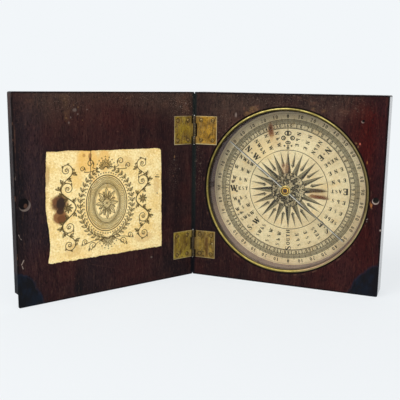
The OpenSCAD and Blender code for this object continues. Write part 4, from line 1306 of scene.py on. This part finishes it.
label = {
    'thick': 0.15, 'middle': (-79.8, 68.2),
    'paper': (243, 213, 141), 'pale': (249, 228, 167), 'dull': (216, 180, 110), 'edge': (186, 142, 82),
    'ink': (80, 66, 36), 'inkPale': (126, 106, 64),
    'crack': [                              # start, end, share
        ((-92.5, 107.7), (-93.1, 74.0), 0.85), ((-93.1, 74.0), (-96.8, 52.2), 0.5)],
    'outline': [(-126.4, 108.8), (-118, 108.5), (-110, 108.9), (-102, 108.4), (-97, 108.1), (-93.6, 107.7),
                (-92.4, 107.8), (-86, 107.9), (-76, 107.4), (-66, 107.6), (-56, 107.2), (-44, 107.0),
                (-36, 107.0), (-33.2, 106.4), (-31.9, 105.0), (-31.7, 98), (-31.4, 90), (-31.6, 82),
                (-31.2, 70), (-31.5, 60), (-31.1, 52), (-31.4, 44), (-30.9, 36), (-31.0, 30.5),
                (-31.1, 28.4), (-33.5, 28.2), (-42, 28.5), (-50, 28.1), (-60, 28.6), (-70, 28.2),
                (-80, 28.7), (-90, 28.3), (-100, 28.8), (-108, 28.4), (-116, 28.9), (-122, 28.4),
                (-126.0, 28.7), (-127.4, 29.4), (-126.7, 33), (-125.8, 38), (-125.5, 43), (-125.9, 48),
                (-126.1, 52), (-126.6, 56), (-127.3, 60), (-127.6, 64), (-128.2, 68), (-128.2, 73),
                (-127.9, 77), (-128.0, 82), (-127.5, 87), (-127.6, 92), (-127.1, 98), (-127.0, 104)],
    'stains': [
        (-117.6, 71.6, 6.8, 0.95, (158, 112, 60), 0.75), (-117.2, 61.6, 5.5, 0.92, (122, 72, 36), 0.92),
        (-117.8, 71.9, 5.6, 0.98, (84, 54, 34), 0.94), (-116.6, 71.4, 3.6, 1.2, (38, 28, 23), 0.88),
        (-117.2, 66.2, 2.8, 1.0, (56, 36, 25), 0.9), (-116.4, 60.2, 3.0, 1.0, (92, 50, 26), 0.65),
        (-121.5, 73.2, 1.6, 1.6, (120, 76, 44), 0.6), (-95.0, 101, 8.5, 1.1, (232, 176, 74), 0.62),
        (-82, 100, 4.6, 1.9, (228, 174, 80), 0.55), (-90, 92, 3.0, 3.0, (226, 178, 92), 0.5),
        (-104, 90, 4.5, 2.0, (232, 186, 100), 0.4), (-93.2, 104.2, 1.4, 1.5, (132, 80, 36), 0.75),
        (-93.0, 101.6, 1.0, 1.4, (60, 36, 20), 0.9), (-98, 104.8, 1.2, 1.0, (166, 104, 44), 0.6),
        (-126.8, 92, 2.2, 3.4, (176, 132, 74), 0.55), (-48, 38, 8, 0.5, (206, 164, 98), 0.4),
        (-64, 98, 7, 0.6, (214, 176, 108), 0.4), (-108, 36, 6, 0.8, (200, 158, 92), 0.35),
        (-36, 78, 2.4, 3.0, (208, 170, 108), 0.45),
    ],
}


def labelFinish():
    finish = Finish('labelPaper', lidPage, 'paper', label)
    fibre = finish.noise(0.9, 4, 0.65, seed=101)
    cloud = finish.noise(15, 5, 0.6, seed=102)
    mottle = finish.noise(4, 5, 0.7, seed=103)
    crumbs = finish.noise(1.4, 3, 0.7, seed=107)
    finish.paint(finish.rise(cloud, 0.36, 0.62), 'pale')
    finish.paint(finish.rise(mottle, 0.52, 0.72) * 0.55, 'dull')
    finish.paint(finish.rise(fibre, 0.50, 0.68) * 0.55, 'dull')
    finish.paint(finish.rise(crumbs, 0.52, 0.64) * 0.5, (204, 166, 104))
    finish.paint(finish.fall(crumbs, 0.34, 0.46) * 0.6, (255, 242, 202))
    # brown specks and foxing, then darker towards the edges
    finish.paint(finish.rise(finish.noise(0.8, 2, 0.6, seed=106), 0.66, 0.74) * 0.65, (150, 106, 54))
    finish.paint(finish.rise(finish.noise(1.7, 3, 0.6, seed=104), 0.68, 0.77) * 0.55, (176, 126, 66))
    out = (abs(finish.x + 79.4) - 48.2).most(abs(finish.y - 68.1) - 40)
    finish.paint(finish.rise(out + (mottle - 0.5) * 5, -1.6, 0.6) * 0.35, 'edge')
    finish.blots(label['stains'], 0.42, ((mottle - 0.5) * 2 + (cloud - 0.5)) * 0.55, most=3)
    # the crack that runs down from the stain
    wander = (finish.noise(9, 3, 0.6, seed=105) - 0.5) * 1.8
    crack = 0
    for (x1, y1), (x2, y2), share in label['crack']:
        line = finish.x - x1 - (finish.y - y1) * ((x2 - x1) / (y2 - y1)) + wander
        reach = finish.within(finish.y - (y1 + y2) / 2, abs(y1 - y2) / 2, 0.3)
        crack = crack + finish.within(line, 0.3, 0.2) * reach * share
    finish.paint(crack * (0.35 + finish.rise(mottle, 0.3, 0.5) * 0.65), (92, 62, 34))
    finish.bump(fibre, 0.04, 0.6)
    finish.bump(cloud, 0.5, 0.6)
    finish.bump(1 - crack, 0.15, 0.6)
    return finish.done(0.8, shine=0.22)


def tornEdge():
    # the outline with small tears, larger along the lower edge
    points = []
    for start, end in zip(label['outline'], label['outline'][1:] + label['outline'][:1]):
        start, end = Vector(start), Vector(end)
        across = Vector((start.y - end.y, end.x - start.x)).normalized()
        count = max(int((end - start).length / 0.9), 1)
        rough = 0.34 if max(start.y, end.y) < 30 else 0.13
        for number in range(count):
            points.append(tuple(start.lerp(end, number / count) + across * random.uniform(-rough, rough)))
    return points


random.seed(17)
paper = asMesh(curveOf('paper_sheet', [tornEdge()], closed=True, thick=label['thick']))
settle(paper, lidPage, label['thick'] / 2)
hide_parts('paper_label')
keep(paper, 'lid', labelFinish())


# The label's engraving, in lines of (x, y, pen) about its middle

def bearing(degrees):
    return Vector((math.cos(math.radians(degrees)), math.sin(math.radians(degrees))))


def heading(start, end):
    return math.degrees(math.atan2(end[1] - start[1], end[0] - start[0]))


def oval(centre, wide, tall, pen, steps, lobes=0, depth=0):
    # an oval, its reach waved by lobes
    line = []
    for number in range(steps + 1):
        angle = 2 * math.pi * number / steps
        reach = 1 + depth * math.cos(lobes * angle)
        line.append((centre[0] + wide * reach * math.cos(angle),
                     centre[1] + tall * reach * math.sin(angle), pen))
    return line


def coil(centre, radius, start, turns, steps, closing, power):
    # places along a scroll that closes on its middle: x, y, share of its length
    line = []
    for number in range(steps + 1):
        share = number / steps
        angle = math.radians(start) + 2 * math.pi * turns * share
        reach = radius * (1 - closing * share ** power)
        line.append((centre[0] + reach * math.cos(angle), centre[1] + reach * math.sin(angle), share))
    return line


def leafLines(root, degrees, length, pen):
    # an outlined leaf with a midrib and a hatched half
    root, along = Vector(root[:2]), bearing(degrees)
    side = Vector((-along.y, along.x))

    def place(share, aside, width):
        return (*(root + along * (length * share) + side * (length * aside)), width)

    lines = []
    for bulge in (0.2, -0.2):
        lines.append([place(share, bulge * math.sin(math.pi * share ** 0.8), pen)
                      for share in (0, 0.12, 0.25, 0.4, 0.55, 0.7, 0.85, 1)])
    lines.append([place(0, 0, pen * 1.2), place(0.9, 0, pen * 0.5)])
    for share in (0.2, 0.32, 0.44, 0.56, 0.68):
        aside = 0.16 * math.sin(math.pi * share)
        lines.append([place(share, 0, pen * 0.8), place(share + 0.14, aside, pen * 0.6)])
    return lines


def rosetteLines():
    # an oval rosette in a woven band and a ring of beads
    lines = [oval((0, 0), wide, tall, pen, 120) for wide, tall, pen in (
        (17.0, 21.0, 0.75), (15.8, 19.8, 0.3), (11.6, 15.6, 0.3), (10.9, 14.9, 0.55))]
    for strand in range(4):
        line = []
        for step in range(281):
            angle = 2 * math.pi * step / 280
            sway = 1.9 * math.cos(20 * angle + strand * math.pi / 2)
            line.append(((13.7 + sway) * math.cos(angle), (17.7 + sway) * math.sin(angle), 0.27))
        lines.append(line)
    # level lines that shade the field round the rosette
    for number in range(-25, 26):
        y = number * 0.58
        reach = 10.7 * math.sqrt(max(1 - (y / 14.7) ** 2, 0))
        hole = 9.2 * math.sqrt(max(1 - (y / 11.6) ** 2, 0))
        if reach > hole + 0.5:
            lines += [[(hand * hole, y, 0.24), (hand * reach, y, 0.3)] for hand in (1, -1)]
    for number in range(16):
        along = bearing(number * 22.5)
        root, tip = Vector((2.8 * along.x, 3.6 * along.y)), Vector((9.3 * along.x, 11.9 * along.y))
        if number % 2:
            tip = root.lerp(tip, 0.72)
        lines += leafLines(root, heading(root, tip), (tip - root).length, 0.42)
    lines.append(oval((0, 0), 2.6, 3.12, 0.42, 96, 12, 0.16))
    lines.append(oval((0, 0), 1.4, 1.68, 0.34, 96, 8, 0.16))
    lines.append(oval((0, 0), 0.5, 0.6, 0.7, 12))
    for number in range(56):
        along = bearing(number * 360 / 56)
        lines.append(oval((18.9 * along.x, 22.9 * along.y), 0.38, 0.38, 0.42, 8))
    return lines


def wreathLines(hand):
    # one side of a wreath that is open at its top
    stalk = []
    for step in range(37):
        share = step / 36
        along = bearing(-90 + 158 * share)
        stalk.append((hand * (22.6 - 1.4 * share) * along.x, 26.2 * along.y, 0.62 - 0.34 * share))
    lines = [stalk]
    for number in range(2, 37, 2):
        ahead = heading(stalk[number - 1], stalk[number])
        for turn, size in ((40, 4.6), (-40, 4.3)):
            lines += leafLines(stalk[number], ahead + turn, size * (1 - 0.008 * number), 0.36)
    return lines


def vineLines(hand, level):
    # a vine in one quarter, a tendril coiled in each of its bends
    vine = []
    for number in range(41):
        share = number / 40
        sway = 5.8 * math.cos(2 * math.pi * share)
        vine.append((hand * (31 - sway), level * 28 * share, 0.9 - 0.45 * share))
    lines = [vine]
    for centre, radius, start, way in (((31, 14), 7.0, -90, 1), ((31.6, 27.4), 6.4, -95, -1)):
        middle = (hand * centre[0], level * centre[1])
        tendril = [(hand * x, level * y, 0.7 - 0.3 * share)
                   for x, y, share in coil(centre, radius, start, 1.7 * way, 44, 0.88, 0.62)]
        lines += [tendril, oval(middle, 0.9, 0.9, 0.4, 40, 5, 0.3)]
        for number in (7, 12, 17):
            lean = heading(middle, tendril[number]) - 58 * way * hand * level
            lines += leafLines(tendril[number], lean, 2.2, 0.34)
    for number, turn in ((5, 70), (10, -70), (15, -60), (20, -75), (25, -60), (30, 70), (35, 65)):
        ahead = heading(vine[number - 1], vine[number])
        for share, length, pen in ((1, 3.9, 0.42), (0.45, 3.0, 0.36)):
            lines += leafLines(vine[number], ahead + turn * share * hand * level, length, pen)
    return lines


def sideFlower(hand):
    lines = []
    for number in range(8):
        along = bearing(number * 45)
        lines += leafLines((hand * 31.4 + 0.9 * along.x, 0.9 * along.y), number * 45, 2.9, 0.38)
    lines.append(oval((hand * 31.4, 0), 0.5, 0.5, 0.6, 10))
    return lines


def smallCoils(hand, level):
    # two coils beside a fan, on stalks from its foot
    lines = []
    for x, y, radius in ((12.6, 30.6, 3.4), (19.0, 27.0, 2.6)):
        way = hand * level
        places = coil((hand * x, level * y), radius, 90 - 210 * way, -1.5 * way, 28, 0.86, 0.8)
        scroll = [(atX, atY, 0.6 * (0.55 + 0.45 * math.sin(math.pi * share))) for atX, atY, share in places]
        root, first = Vector((hand * 4.2, level * 27.4)), Vector(scroll[0][:2])
        stalk = []
        for share in (0, 0.25, 0.5, 0.75, 1):
            sag = Vector((0, level * 5 * share * (1 - share)))
            stalk.append((*(root.lerp(first, share) - sag), 0.3 + 0.3 * share))
        lines += [scroll, stalk] + leafLines(scroll[2], level * 90 - 20 * way, radius * 0.8, 0.36)
    return lines


def fanLines(level):
    # a fan of leaves with beads round it
    lines = []
    for number in range(-4, 5):
        angle = level * 90 + number * 19
        along = bearing(angle)
        lines += leafLines(along * 1.4 + Vector((0, level * 25.6)), angle, 6.6 - abs(number) * 0.5, 0.36)
        bead = along * (9.6 - abs(number) * 0.45) + Vector((0, level * 25.2))
        lines.append(oval(bead, 0.36, 0.36, 0.4, 8))
    return lines


def ornamentLines():
    lines = rosetteLines() + wreathLines(1) + wreathLines(-1)
    for hand in (1, -1):
        lines += vineLines(hand, 1) + vineLines(hand, -1) + sideFlower(hand)
        lines += smallCoils(hand, 1) + smallCoils(hand, -1)
    return lines + fanLines(1) + fanLines(-1)


def placedOrnament():
    turned = Matrix.Rotation(math.radians(1.2), 2)
    placed = [[(*(turned @ Vector((x, y)) + Vector(label['middle'])), pen) for x, y, pen in line]
              for line in ornamentLines()]
    # a binder's marks by the right edge
    return placed + [[(-37.4, 84.8, 0.9), (-33.4, 84.3, 0.7)], [(-36.4, 86.2, 0.4), (-34.0, 86.0, 0.4)],
                     [(-35.6, 72, 0.9), (-34.9, 71.2, 0.5)]]


ornament = inked('label_engraving', placedOrnament(), lidPage, label['thick'] + 0.003)
keep(ornament, 'lid', inkFinish('labelInk', lidPage, label['ink'], label['inkPale']))
print('label done')
